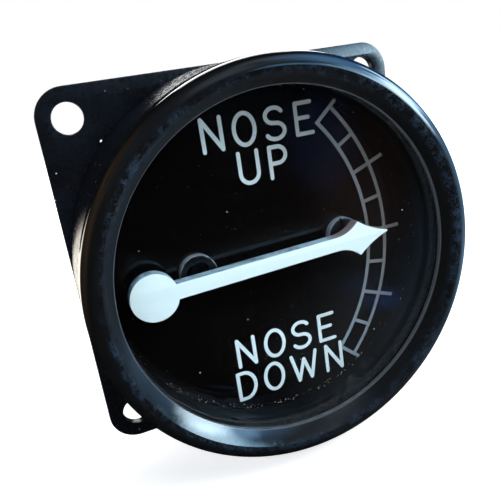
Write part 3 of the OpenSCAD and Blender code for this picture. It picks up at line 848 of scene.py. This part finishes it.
class Glyph(Enum):
    """Single-stroke letters of an engraving machine, as lines in a box 1 wide and 1 high."""

    N = [[(0, 0), (0, 1)], [(0, 1), (1, 0)], [(1, 0), (1, 1)]]
    O = [oval(0.5, 0.5, 0.5, 0.5, 0, 360, 40)]
    S = [oval(0.5, 0.755, 0.46, 0.245, 28, 248, 16) + oval(0.5, 0.26, 0.5, 0.26, 68, -152, 16)]
    E = [[(0, 0), (0, 1)], [(0, 1), (1, 1)], [(0, 0.52), (0.8, 0.52)], [(0, 0), (1.04, 0)]]
    U = [[(0, 1), *oval(0.5, 0.32, 0.5, 0.32, 180, 360, 20), (1, 1)]]
    P = [[(0, 0), (0, 1)], [(0, 1), *oval(0.5, 0.73, 0.5, 0.27, 90, -90, 16), (0, 0.46)]]
    D = [[(0, 0), (0, 1)], [(0, 1), *oval(0.35, 0.5, 0.65, 0.5, 90, -90, 24), (0, 0)]]
    W = [[(0, 1), (0.25, 0)], [(0.25, 0), (0.5, 0.8)], [(0.5, 0.8), (0.77, 0)],
         [(0.77, 0), (1, 1)]]


@dataclass(frozen=True)
class Legend:
    """One line of plain function words cut into the dial and filled with paint."""

    words: str
    lefts: tuple[float, ...]
    widths: tuple[float, ...]
    base: float
    height: float = 4.6
    stroke: float = 0.62

    def lines(self) -> list[list[Point]]:
        """Gives the middle of every stroke of the words, placed on the dial in mm."""
        return [[(left + x * width, self.base + y * self.height) for x, y in line]
                for letter, left, width in zip(self.words, self.lefts, self.widths)
                for line in Glyph[letter].value]


@dataclass
class Dial:
    """The engraved dial, its filled scale, the legends, and the two black heads."""

    front: float = 11.2
    proud: float = 0.03
    layer: float = 0.0006
    cap_steps: int = 10
    head_r: float = 2.9
    head_h: float = 1.2
    head_edge: float = 0.14
    head_bore_r: float = 1.9
    barrel_r: float = 2.0
    barrel_bore_r: float = 0.79
    bush_back: float = 7.1
    bush_spot: Point = (-12.8, 0.7)
    pivot: Point = (-12.0, 0.0)
    laminate: Finish = DialLaminate("polished_phenolic_laminate", "dial_laminate")
    fill: Finish = EngravingFill("rubbed_in_paint_scale", "scale_fill", "#8797a6", "#6b655f",
                                 4.0, 22.0, 0.25)
    words: Finish = EngravingFill("rubbed_in_paint_legend", "scale_fill")
    screw: Finish = BlackHardware("blackened_brass_screw", "black_hardware",
                                  spot=(12.0, 1.0), rim_r=2.6)
    bush: Finish = BlackHardware("blackened_brass_bush", "black_hardware", spot=(-12.8, 0.7))
    legends: tuple[Legend, ...] = (
        Legend("NOSE", (-8.5, -3.66, 1.3, 6.4), (2.85, 3.25, 3.05, 2.5), 18.0),
        Legend("UP", (-3.6, 1.36), (2.92, 2.6), 12.3),
        Legend("NOSE", (-8.56, -3.74, 1.2, 6.2), (2.8, 3.25, 3.05, 2.6), -17.0),
        Legend("DOWN", (-9.33, -4.6, 0.36, 6.9), (2.9, 3.2, 4.5, 2.82), -22.95, 4.7))

    def ribbon(self, shape: bmesh.types.BMesh, line: list[Point], half: float,
               top: float) -> None:
        """Adds a flat stroke with round ends.

        Args:
            shape: Mesh that takes the stroke.
            line: Points of its middle, in mm.
            half: Half its width, in mm.
            top: Height of its face, in mm.
        """
        closed = math.dist(line[0], line[-1]) < 1e-6
        pts = [Vector(p) for p in (line[:-1] if closed else line)]
        last = len(pts) - 1
        sides, loops = [], []
        for i, p in enumerate(pts):
            before = pts[i - 1] if i or closed else p
            after = pts[(i + 1) % len(pts)] if i < last or closed else p
            way = ((after - p).normalized() + (p - before).normalized()).normalized()
            side = Vector((-way.y, way.x)) * half
            sides.append((p + side, p - side))
        if not closed:
            for end, inner in ((pts[0], pts[1]), (pts[-1], pts[-2])):
                turn = math.degrees(math.atan2(*(end - inner).yx))
                cap = arc(*end, half, turn - 90, turn + 90, self.cap_steps)
                loops.append([Vector(p) for p in cap])
        following = sides[1:] + sides[:1] if closed else sides[1:]
        loops += [[a[0], a[1], b[1], b[0]] for a, b in zip(sides, following)]
        for loop in loops:
            face = shape.faces.new([
                shape.verts.new((p[0] * MM, -top * MM, p[1] * MM)) for p in loop])
            face.normal_update()
            if face.normal.y > 0:
                face.normal_flip()

    def heads(self) -> None:
        """Makes the dial screw, and the pointer's bush as its head and its barrel."""
        ScrewRing(count=1, pitch_r=12.04, first=4.8, face=self.front, shank_r=1.0, shank=2.8,
                  head_r=2.75, head_h=self.head_h, slot_w=0.4, slot_d=0.48, edge=self.head_edge,
                  to_front=True, seed=9, finish=self.screw).build("dial_screw_head", "dial_screw")
        top = self.front + self.head_h
        crown = arc(self.head_r - self.head_edge, top - self.head_edge, self.head_edge, 0, 90, 6)
        head = Workshop.lathe("bush_flange_turned", [
            (self.head_bore_r, self.front), (self.head_r, self.front), *crown,
            (self.head_bore_r, top)], 96, centre=self.bush_spot)
        barrel = Workshop.lathe("bush_barrel_turned", [
            (self.barrel_bore_r, self.bush_back), (self.barrel_r, self.bush_back),
            (self.barrel_r, self.front), (self.barrel_bore_r, self.front)],
            64, centre=self.pivot)
        for piece in (head, barrel):
            Workshop.settle(piece, self.bush, "pointer_bush")

    def build(self) -> None:
        """Finishes the dial's pieces and fills the engraved legends."""
        Workshop.dress(self.laminate, "dial_plate")
        Workshop.dress(self.fill, "scale_inlay")
        self.heads()
        shape = bmesh.new()
        level = 0.0
        for legend in self.legends:
            for line in legend.lines():
                # Each stroke lies a hair above the last, so that crossings don't flicker
                self.ribbon(shape, line, legend.stroke / 2, self.front + self.proud + level)
                level += self.layer
        bmesh.ops.remove_doubles(shape, verts=shape.verts, dist=MERGE_FILL)
        mesh = bpy.data.meshes.new("legend_fill")
        shape.to_mesh(mesh)
        shape.free()
        Workshop.settle(Workshop.piece("legend_fill", mesh), self.words)
        LOG.info("dial: legends of %d faces", len(mesh.polygons))


@dataclass
class Needle:
    """The painted pointer: round tail, tapered shaft and flared arrow head."""

    pivot: Point = (-12.0, 0.0)
    angle: float = 1.5
    back: float = 13.2
    front: float = 15.1
    edge: float = 0.07
    tail_s: float = 8.3
    tail_r: float = 3.6
    root_half: float = 1.18
    end_half: float = 1.12
    flare_s: float = 21.1
    barb_s: float = 25.1
    barb_half: float = 2.8
    tip_half: float = 0.12
    reach: float = 30.4
    finish: Finish = PointerPaint("brushed_white_paint", "pointer_paint")
    hub: Finish = TurnedMetal("blackened_brass_hub", "black_hardware", "#2a2c30", "#17181b", 0.35)

    @staticmethod
    def bowed(p: Point, q: Point, bow: float, steps: int = 12) -> list[Point]:
        """Gives a shallow curve.

        Args:
            p: First point.
            q: Last point.
            bow: Height of the curve to the left.
            steps: Number of steps.

        Returns:
            steps + 1 points.
        """
        a, b = Vector(p), Vector(q)
        side = Vector((a.y - b.y, b.x - a.x)).normalized()
        return [tuple(a.lerp(b, t) + side * bow * 4 * t * (1 - t))
                for t in (i / steps for i in range(steps + 1))]

    def outline(self) -> list[Point]:
        """Gives the pointer's outline about its pivot, pointing right.

        Returns:
            Its points in order.
        """
        corner = math.degrees(math.asin(self.root_half / self.tail_r))
        upper = self.bowed((self.flare_s, self.end_half), (self.barb_s, self.barb_half), -0.45)
        upper += self.bowed((self.barb_s + 0.1, self.barb_half), (self.reach, self.tip_half), -0.3)
        tail = arc(-self.tail_s, 0, self.tail_r, 360 - corner, corner, 68)
        return upper + [(x, -y) for x, y in reversed(upper)] + tail

    def build(self) -> None:
        """Cuts and paints the pointer."""
        turn = math.radians(self.angle)
        placed = [(self.pivot[0] + x * math.cos(turn) - y * math.sin(turn),
                   self.pivot[1] + x * math.sin(turn) + y * math.cos(turn))
                  for x, y in self.outline()]
        needle = Workshop.plate("pointer_painted", [placed], self.back, self.front, self.edge)
        Workshop.settle(needle, self.finish, "pointer", body=Body.POINTER)
        Workshop.dress(self.hub, "pointer_hub")
        LOG.info("pointer: %d faces", len(needle.data.polygons))


@dataclass
class Case:
    """Flange and drum."""

    half_side: float = 30.15
    corner_r: float = 4.8
    edge: float = 0.16
    hole: float = 25.4
    hole_r: float = 2.4
    thickness: float = 1.6
    bore_r: float = 27.2
    screw_pitch_r: float = 28.8
    screw_hole_r: float = 1.53
    sheet: Finish = CaseEnamel("stove_enamelled_sheet", "flange_paint")
    drum: Finish = CaseEnamel("stove_enamelled_drum", "flange_paint", half_side=NO_EDGE,
                              roughness=0.16)
    steel: Finish = TurnedMetal("turned_mild_steel", "plain_steel", "#9b9fa6", "#5d5f63", 0.3, 0.2)

    def build(self) -> None:
        """Cuts the flange and finishes the drum."""
        c = self.half_side - self.corner_r
        outline = []
        for sx, sy, a in ((1, 1, 0), (-1, 1, 90), (-1, -1, 180), (1, -1, 270)):
            outline += arc(sx * c, sy * c, self.corner_r, a, a + 90, 14)
        step = self.screw_pitch_r * math.sqrt(0.5)
        kinds = ((self.hole, self.hole_r, 48), (step, self.screw_hole_r, 24))
        holes = [circle(sx * place, sy * place, r, count) for place, r, count in kinds
                 for sx in (-1, 1) for sy in (-1, 1)]
        bore = circle(0, 0, self.bore_r, 144)
        flange = Workshop.plate("flange_sheet", [outline, bore, *holes], -self.thickness, 0,
                                self.edge)
        Workshop.settle(flange, self.sheet, "flange_plate")
        Workshop.dress(self.drum, "case_drum")
        Workshop.dress(self.steel, "flange_screws")
        LOG.info("case: flange of %d faces", len(flange.data.polygons))


@dataclass
class Movement:
    """Plates, pillars, gears, arbors and hairspring inside the case."""

    plates: Finish = TurnedMetal("grained_brass_plate", "turned_brass", "#b8965a", "#7a6238",
                                 0.34, 0.4)
    gears: Finish = TurnedMetal("cut_brass_gear", "turned_brass", "#c9a75f", "#8b7142", 0.26, 0.2,
                                Axis.PIVOT)
    wheel: Finish = TurnedMetal("cut_brass_wheel", "turned_brass", "#c9a75f", "#8b7142", 0.26, 0.2,
                                Axis.TRANSFER)
    steel: Finish = TurnedMetal("ground_silver_steel", "plain_steel", "#a8abb0", "#6c6e72",
                                0.22, 0.15)
    bronze: Finish = TurnedMetal("turned_bronze_bush", "turned_brass", "#b07a45", "#6c4a2a",
                                 0.3, 0.2)
    blued: Finish = TurnedMetal("blued_spring_steel", "blued_steel", "#3f5690", "#2b3350",
                                0.25, 0.3)

    def build(self) -> None:
        """Finishes the movement's nodes."""
        Workshop.dress(self.plates, "front_plate", "back_plate", "pillars", "bush_nut",
                       "spring_stud")
        Workshop.dress(self.gears, "sector_gear", "sector_collet", "spring_collet")
        Workshop.dress(self.wheel, "transfer_wheel")
        Workshop.dress(self.steel, "pillar_screws", "stop_pins", "pointer_spindle",
                       "transfer_arbor", "transfer_pinion", "drive_pinion", "spindle_collar",
                       "drive_spindle")
        Workshop.dress(self.bronze, "arbor_bushes", "drive_bushes")
        Workshop.dress(self.blued, "hairspring")
        LOG.info("movement: plates, train and hairspring")


@dataclass
class ScrewRing:
    """Slotted cheese-head screws on a circle."""

    count: int = 4
    pitch_r: float = 24.95
    first: float = 45.0
    face: float = -15.0
    shank_r: float = 0.85
    shank: float = 7.0
    head_r: float = 1.5
    head_h: float = 1.2
    slot_w: float = 0.4
    slot_d: float = 0.5
    edge: float = 0.2
    to_front: bool = False
    seed: int = 4
    finish: Finish = TurnedMetal("turned_steel_screw", "plain_steel", "#9b9fa6", "#5d5f63",
                                 0.3, 0.2)

    def template(self) -> bpy.types.Object:
        """Turns one screw about the vertical axis, its head above zero.

        Returns:
            The screw, without its slot.
        """
        h, r, s, e = self.head_h, self.head_r, self.shank_r, self.edge
        profile = [(0.0, h), *reversed(arc(r - e, h - e, e, 0, 90, 6)),
                   (r, 0.0), (s, 0.0), (s, -self.shank), (0.0, -self.shank)]
        screw = Workshop.lathe("screw_pattern", profile, 40)
        screw.data.transform(Matrix.Rotation(-math.pi / 2, 4, "X"))
        return screw

    @staticmethod
    def tree(values: Values) -> Tree:
        """Makes the tree that slots the pattern and sets it round the circle.

        Args:
            values: Input name to value.

        Returns:
            The tree.
        """
        tree, given = new_tree("screw_ring", values)
        pattern = add(tree, "GeometryNodeObjectInfo", {"Object": given["Pattern"]})
        cutter = add(tree, "GeometryNodeMeshCube", {"Size": xyz(
            calc("MULTIPLY", given["Head Radius"], 3.0), given["Slot Width"],
            calc("MULTIPLY", given["Slot Depth"], 2.0))})
        raised = moved(cutter.outputs[0], Translation=xyz(z=given["Head Height"]))
        slotted = add(tree, "GeometryNodeMeshBoolean", {
            0: pattern.outputs["Geometry"], 1: raised}, operation="DIFFERENCE")
        step = calc("DIVIDE", 2 * math.pi, given["Count"])
        around = calc("MULTIPLY", add(tree, "GeometryNodeInputIndex").outputs[0], step)
        way = xyz(calc("COSINE", around), calc("SINE", around))
        spots = add(tree, "GeometryNodePoints", {
            "Count": given["Count"],
            "Position": vector("MULTIPLY", way, given["Pitch Radius"])})
        spin = draw(tree, 0.0, 3.14159, given["Seed"])
        placed = add(tree, "GeometryNodeInstanceOnPoints", {
            "Points": spots.outputs[0], "Instance": slotted.outputs[0],
            "Rotation": xyz(given["Tilt"], z=spin)})
        lifted = moved(placed.outputs[0], Translation=xyz(z=given["Face"]),
                       Rotation=xyz(z=given["First Angle"]))
        return end_tree(moved(lifted, Rotation=UPRIGHT), given["Material"])

    def build(self, name: str, node: str) -> None:
        """Sets the screws round the circle.

        Args:
            name: Name of the piece.
            node: CAD node that it replaces.
        """
        pattern = self.template()
        values = {
            "Pattern": pattern, "Count": self.count, "Pitch Radius": self.pitch_r * MM,
            "First Angle": math.radians(self.first), "Face": self.face * MM,
            "Slot Width": self.slot_w * MM, "Slot Depth": self.slot_d * MM,
            "Head Height": self.head_h * MM, "Head Radius": self.head_r * MM,
            "Seed": self.seed, "Tilt": 0.0 if self.to_front else math.pi,
            "Material": Workshop.material(self.finish)}
        screws = Workshop.grow(name, self.tree(values), values)
        bpy.data.objects.remove(pattern)
        screws.data.shade_smooth()
        screws.data.set_sharp_from_angle(angle=math.radians(SHARP))
        Workshop.settle(screws, self.finish, node)
        LOG.info("%s: %d screws, %d faces", name, self.count, len(screws.data.polygons))


@dataclass
class RearDrive:
    """The rear cover with its gasket and screws, and the threaded union of the drive."""

    cover_back: float = -15.0
    hex_back: float = -16.6
    nozzle_end: float = -24.0
    front: float = -12.6
    spigot_r: float = 4.5
    nozzle_r: float = 5.0
    bore_r: float = 3.0
    flats: float = 15.0
    hex_edge: float = 0.22
    thread_pitch: float = 1.0
    thread_depth: float = 0.5
    thread_start: float = 0.6
    thread_end: float = 0.9
    relief: float = 1.0
    brass: Finish = TurnedMetal("turned_brass_union", "turned_brass", "#c2a15c", "#7d6538",
                                0.27, 0.22)
    enamel: Finish = CaseEnamel("stove_enamelled_cover", "flange_paint", half_side=NO_EDGE,
                                roughness=0.3)
    gasket: Finish = MattCoat("oiled_gasket_board", "black_rubber", "#3a2e22", "#54452f",
                              0.8, 0.85)

    @staticmethod
    def thread_tree(values: Values) -> Tree:
        """Makes the tree that winds the thread's ridge round the nozzle.

        Args:
            values: Input name to value.

        Returns:
            The tree.
        """
        tree, given = new_tree("union_thread", values)
        helix = add(tree, "GeometryNodeCurveSpiral", {
            "Resolution": 72, "Rotations": given["Turns"], "Start Radius": given["Root Radius"],
            "End Radius": given["Root Radius"], "Height": given["Length"]})
        ridge = add(tree, "GeometryNodeCurvePrimitiveCircle", {
            "Resolution": 4, "Radius": given["Ridge"]}, mode="RADIUS")
        swept = add(tree, "GeometryNodeCurveToMesh", {
            "Curve": helix.outputs[0], "Profile Curve": ridge.outputs[0], "Fill Caps": True})
        lifted = moved(swept.outputs[0], Translation=xyz(z=given["Start"]))
        return end_tree(moved(lifted, Rotation=UPRIGHT), given["Material"])

    def build(self) -> None:
        """Turns the union, winds its thread and finishes the cover."""
        root = self.nozzle_r - self.thread_depth
        union = Workshop.lathe("union_nozzle", [
            (self.bore_r, self.front), (self.spigot_r, self.front),
            (self.spigot_r, self.hex_back), (root, self.hex_back), (root, self.nozzle_end + 0.5),
            (root - 0.25, self.nozzle_end), (self.bore_r + 0.2, self.nozzle_end),
            (self.bore_r, self.nozzle_end + 0.2)], 128)
        Workshop.settle(union, self.brass, "drive_union")
        corners = arc(0, 0, self.flats / 2 / math.cos(math.pi / 6), 0, 300, 5)
        hexagon = Workshop.plate("union_hexagon", [corners], self.hex_back, self.cover_back,
                                 self.hex_edge)
        Workshop.settle(hexagon, self.brass)
        length = self.hex_back - self.relief - self.nozzle_end - self.thread_end
        values = {
            "Root Radius": root * MM, "Ridge": self.thread_depth * MM,
            "Turns": length / self.thread_pitch, "Length": length * MM,
            "Start": (self.nozzle_end + self.thread_start) * MM,
            "Material": Workshop.material(self.brass)}
        thread = Workshop.grow("union_thread", self.thread_tree(values), values)
        Workshop.settle(thread, self.brass)
        Workshop.dress(self.enamel, "rear_cover")
        Workshop.dress(self.gasket, "cover_gasket")
        ScrewRing().build("cover_screw_set", "cover_screws")
        LOG.info("rear drive: thread of %d faces", len(thread.data.polygons))


@dataclass
class Dust:
    """Grains that lie on the dial and, thicker, round its rim."""

    height: float = 11.22
    finish: Finish = MattCoat("settled_dust", "pointer_paint", "#c9c6bd", "#8b8983", 0.2, 0.9)
    # Name, count, inner and outer radius, first and last angle, size of a grain, seed
    rings: tuple[tuple, ...] = (
        ("dust_rim_bottom", 170, 25.5, 26.3, -2.5, -0.9, 0.07, 1),
        ("dust_rim_round", 120, 25.6, 26.3, -3.14, 3.14, 0.05, 2),
        ("dust_dial", 260, 2.0, 25.5, -3.14, 3.14, 0.035, 5))

    @staticmethod
    def tree(values: Values) -> Tree:
        """Makes the tree that strews flat grains over part of a ring.

        Args:
            values: Input name to value.

        Returns:
            The tree.
        """
        tree, given = new_tree("dust_ring", values)
        angle = draw(tree, given["From"], given["To"], given["Seed"])
        radius = draw(tree, given["Inner"], given["Outer"], calc("ADD", given["Seed"], 7))
        place = xyz(calc("MULTIPLY", radius, calc("COSINE", angle)),
                    given["Height"], calc("MULTIPLY", radius, calc("SINE", angle)))
        points = add(tree, "GeometryNodePoints", {"Count": given["Count"], "Position": place})
        grain = add(tree, "GeometryNodeMeshIcoSphere", {
            "Radius": given["Grain"], "Subdivisions": 1})
        # Most grains are small, and all of them long and flat
        small = calc("POWER", draw(tree, 0.0, 1.0, 3), 3.0)
        size = calc("ADD", small, 0.25)
        form = xyz(calc("MULTIPLY", size, 1.7), calc("MULTIPLY", size, 0.4), size)
        strewn = add(tree, "GeometryNodeInstanceOnPoints", {
            "Points": points.outputs[0], "Instance": grain.outputs[0], "Scale": form,
            "Rotation": xyz(y=draw(tree, 0.0, 6.28, 11))})
        return end_tree(strewn.outputs[0], given["Material"])

    def build(self) -> None:
        """Strews the grains."""
        for name, count, inner, outer, start, end, grain, seed in self.rings:
            values = {
                "Count": count, "Inner": inner * MM, "Outer": outer * MM, "From": start,
                "To": end, "Height": -self.height * MM, "Grain": grain * MM, "Seed": seed,
                "Material": Workshop.material(self.finish)}
            Workshop.settle(Workshop.grow(name, self.tree(values), values), self.finish)
        LOG.info("dust: %d rings of grains", len(self.rings))


@dataclass(frozen=True)
class Glow:
    """A soft patch of light on the tent: a window, its sky, a wall."""

    turn: float
    climb: float
    inner: float
    outer: float
    code: str
    strength: float

    def way(self) -> Triple:
        """Gives its direction; turn runs from the front to the right, climb upwards."""
        a, e = math.radians(self.turn), math.radians(self.climb)
        return math.sin(a) * math.cos(e), -math.cos(a) * math.cos(e), math.sin(e)


@dataclass
class Studio:
    """White surroundings, a dark tent that gloss mirrors, soft lamps, floor and camera."""

    place: Triple = (-0.03041, -0.09027, 0.02814)
    right: Triple = (0.9232, -0.3563, -0.1435)
    up: Triple = (0.2364, 0.2327, 0.9433)
    ahead: Triple = (0.3028, 0.9049, -0.2991)
    lens: float = 40.57
    floor_z: float = -0.0345
    mat_gap: float = 0.003
    mat_back: float = 0.62
    tent_r: float = 0.7
    felt: str = "#08080a"
    even: float = 3.0  # Glows stronger than this are windows, and their light isn't mottled
    glows: tuple[Glow, ...] = (
        Glow(26, 10, 1, 8, "#7cc4ff", 3.0), Glow(37, 12, 1, 8, "#a4daff", 7.0),
        Glow(47, 8, 1, 11, "#c8ecff", 14.0), Glow(47, 20, 1, 8, "#a8daff", 5.0),
        Glow(58, 12, 1, 12, "#d8f2ff", 18.0), Glow(62, 23, 1, 9, "#c8ecff", 7.0),
        Glow(70, 20, 1, 10, "#d8f2ff", 16.0), Glow(92, 30, 1, 9, "#c8ecff", 8.0),
        Glow(80, 21, 1, 10, "#c8ecff", 9.0), Glow(90, 20, 1, 11, "#a4daff", 5.0),
        Glow(100, 18, 1, 11, "#7cb4e8", 3.5),
        Glow(34, 46, 6, 36, "#6c7c88", 3.0), Glow(68, 32, 6, 36, "#5c9cd8", 4.8),
        Glow(112, 24, 5, 38, "#2c5a96", 1.2), Glow(84, -14, 5, 48, "#5c7e9c", 2.3),
        Glow(72, -5, 4, 28, "#6490b4", 1.6), Glow(117, -16, 8, 38, "#6c8698", 1.3),
        Glow(125, -42, 8, 50, "#808890", 0.5), Glow(62, -46, 5, 46, "#788088", 0.6),
        Glow(-20, 50, 5, 50, "#3a4654", 1.4), Glow(-100, 22, 5, 48, "#5a4630", 2.4),
        Glow(-160, -14, 4, 16, "#e8e0d4", 2.2),
        Glow(27, -5, 1, 5, "#2c4070", 0.35), Glow(33, -10, 2, 9, "#5c4a44", 0.36),
        Glow(33, -24, 0.3, 2.2, "#3c64b8", 0.4), Glow(36, -23.4, 0.3, 2.4, "#3c64b8", 0.8))

    @staticmethod
    def seen(tree: Tree) -> Socket:
        """Gives 1 for camera, glossy and transmission rays, and 0 for the rest.

        Args:
            tree: Tree to add to.

        Returns:
            The number.
        """
        path = add(tree, "ShaderNodeLightPath").outputs
        both = calc("MAXIMUM", path["Is Camera Ray"], path["Is Glossy Ray"])
        return calc("MAXIMUM", both, path["Is Transmission Ray"])

    def world(self) -> None:
        """Makes a world that is white where it is seen and nearly dark where it lights."""
        world = bpy.data.worlds.new("studio")
        bpy.context.scene.world = world
        tree = blank(world)
        white = add(tree, "ShaderNodeBackground", {"Color": (1, 1, 1, 1), "Strength": 1.0})
        soft = add(tree, "ShaderNodeBackground", {"Color": srgb("#dfe8f2"), "Strength": 0.06})
        both = shade(self.seen(tree), soft.outputs[0], white.outputs[0])
        add(tree, "ShaderNodeOutputWorld", {"Surface": both})

    def floor(self) -> None:
        """Lays the pale floor, which keeps the object's shadow."""
        material = bpy.data.materials.new("pale_paper_floor")
        tree = blank(material)
        paper = add(tree, "ShaderNodeBsdfDiffuse", {"Color": srgb("#f4f4f2")})
        # The paper's glow is painted dimmer under the object, a painted shade where its shadow falls
        reach = measure("LENGTH", add(tree, "ShaderNodeTexCoord").outputs["Object"])
        level = ramp(reach, 0.05, 0.2, 0.7, 1.0, "SMOOTHSTEP")
        glow = add(tree, "ShaderNodeEmission", {"Color": (1, 1, 1, 1), "Strength": level})
        off = add(tree, "ShaderNodeEmission", {"Strength": 0.0})
        lit = shade(self.seen(tree), off.outputs[0], glow.outputs[0])
        total = add(tree, "ShaderNodeAddShader", {0: paper.outputs[0], 1: lit})
        add(tree, "ShaderNodeOutputMaterial", {"Surface": total.outputs[0]})
        mesh = bpy.data.meshes.new("floor")
        z = self.floor_z
        mesh.from_pydata([(-1, -1, z), (1, -1, z), (1, 1.4, z), (-1, 1.4, z)], [], [(0, 1, 2, 3)])
        mesh.materials.append(material)
        Workshop.piece("floor", mesh)

    def felt_paint(self) -> bpy.types.Material:
        """Paints the glows on dark felt.

        Returns:
            The tent's material.
        """
        material = bpy.data.materials.new("painted_felt_tent")
        tree = blank(material)
        way = vector("NORMALIZE", add(tree, "ShaderNodeTexCoord").outputs["Object"])
        mottle = ramp(noise(way, 2.6, 4), 0.35, 0.65, 0.45, 1.4)
        light = srgb(self.felt)[:3]
        for glow in self.glows:
            near = measure("DOT_PRODUCT", way, glow.way())
            outer, inner = (math.cos(math.radians(a)) for a in (glow.outer, glow.inner))
            fade = ramp(near, outer, inner, last=glow.strength, kind="SMOOTHSTEP")
            if glow.strength <= self.even:
                fade = calc("MULTIPLY", fade, mottle)
            tint = vector("MULTIPLY", srgb(glow.code)[:3], fade)
            light = vector("ADD", light, tint)
        shine = add(tree, "ShaderNodeEmission", {"Color": light, "Strength": 1.0})
        add(tree, "ShaderNodeOutputMaterial", {"Surface": shine.outputs[0]})
        return material

    def tent(self) -> None:
        """Hangs a dark tent that only gloss sees, with a mat inside it above the floor."""
        shape, r, z = bmesh.new(), self.tent_r, self.floor_z + self.mat_gap
        bmesh.ops.create_uvsphere(shape, u_segments=48, v_segments=24, radius=r)
        shape.faces.new([shape.verts.new((x, y, z)) for x, y in (
            (-r, -r), (r, -r), (r, self.mat_back), (-r, self.mat_back))])
        mesh = bpy.data.meshes.new("felt_tent")
        shape.to_mesh(mesh)
        shape.free()
        mesh.materials.append(self.felt_paint())
        obj = Workshop.piece("felt_tent", mesh)
        for kind in ("camera", "diffuse", "shadow", "transmission", "volume_scatter"):
            setattr(obj, "visible_" + kind, False)

    @staticmethod
    def lamp(name: str, place: Triple, size: float, power: float, code: str,
             mirrored: bool = False) -> None:
        """Hangs a soft square lamp aimed at the instrument.

        Args:
            name: Name of the lamp.
            place: Its place, in metres.
            size: Its side, in metres.
            power: Its power in watts.
            code: Its colour.
            mirrored: Whether gloss shows it.
        """
        light = bpy.data.lights.new(name, "AREA")
        light.size = size
        light.energy = power
        light.color = srgb(code)[:3]
        obj = bpy.data.objects.new(name, light)
        obj.location = place
        obj.rotation_euler = (-Vector(place)).to_track_quat("-Z", "Y").to_euler()
        obj.visible_glossy = mirrored
        bpy.context.scene.collection.objects.link(obj)

    def camera(self) -> None:
        """Sets the camera at the photograph's angle."""
        data = bpy.data.cameras.new("camera")
        data.lens = self.lens
        data.sensor_width = 36.0
        data.clip_start = 0.005
        obj = bpy.data.objects.new("camera", data)
        axes = Matrix((self.right, self.up, [-a for a in self.ahead])).transposed()
        obj.matrix_world = Matrix.Translation(self.place) @ axes.to_4x4()
        bpy.context.scene.collection.objects.link(obj)
        bpy.context.scene.camera = obj

    def build(self) -> None:
        """Sets up the studio."""
        bpy.context.scene.view_settings.view_transform = "Standard"
        self.world()
        self.floor()
        self.tent()
        self.lamp("key_softbox", (0.22, -0.34, 0.42), 0.3, 3.4, "#f4f9ff")
        self.lamp("fill_softbox", (-0.45, -0.3, 0.2), 0.4, 1.4, "#e0edff")
        self.lamp("front_softbox", (0.1, -0.6, -0.05), 0.5, 1.5, "#eaf3ff")
        self.lamp("back_softbox", (0.15, 0.45, 0.35), 0.4, 2.6, "#ffffff", True)
        self.camera()
        LOG.info("studio: tent, lamps and camera")


def main() -> None:
    """Builds the classes in order."""
    logging.basicConfig(level=logging.INFO, format="%(name)s: %(message)s")
    Workshop.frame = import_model()
    Bezel().build()
    Glazing().build()
    Dial().build()
    Needle().build()
    Case().build()
    Movement().build()
    RearDrive().build()
    Dust().build()
    Studio().build()


if __name__ == "__main__":
    main()
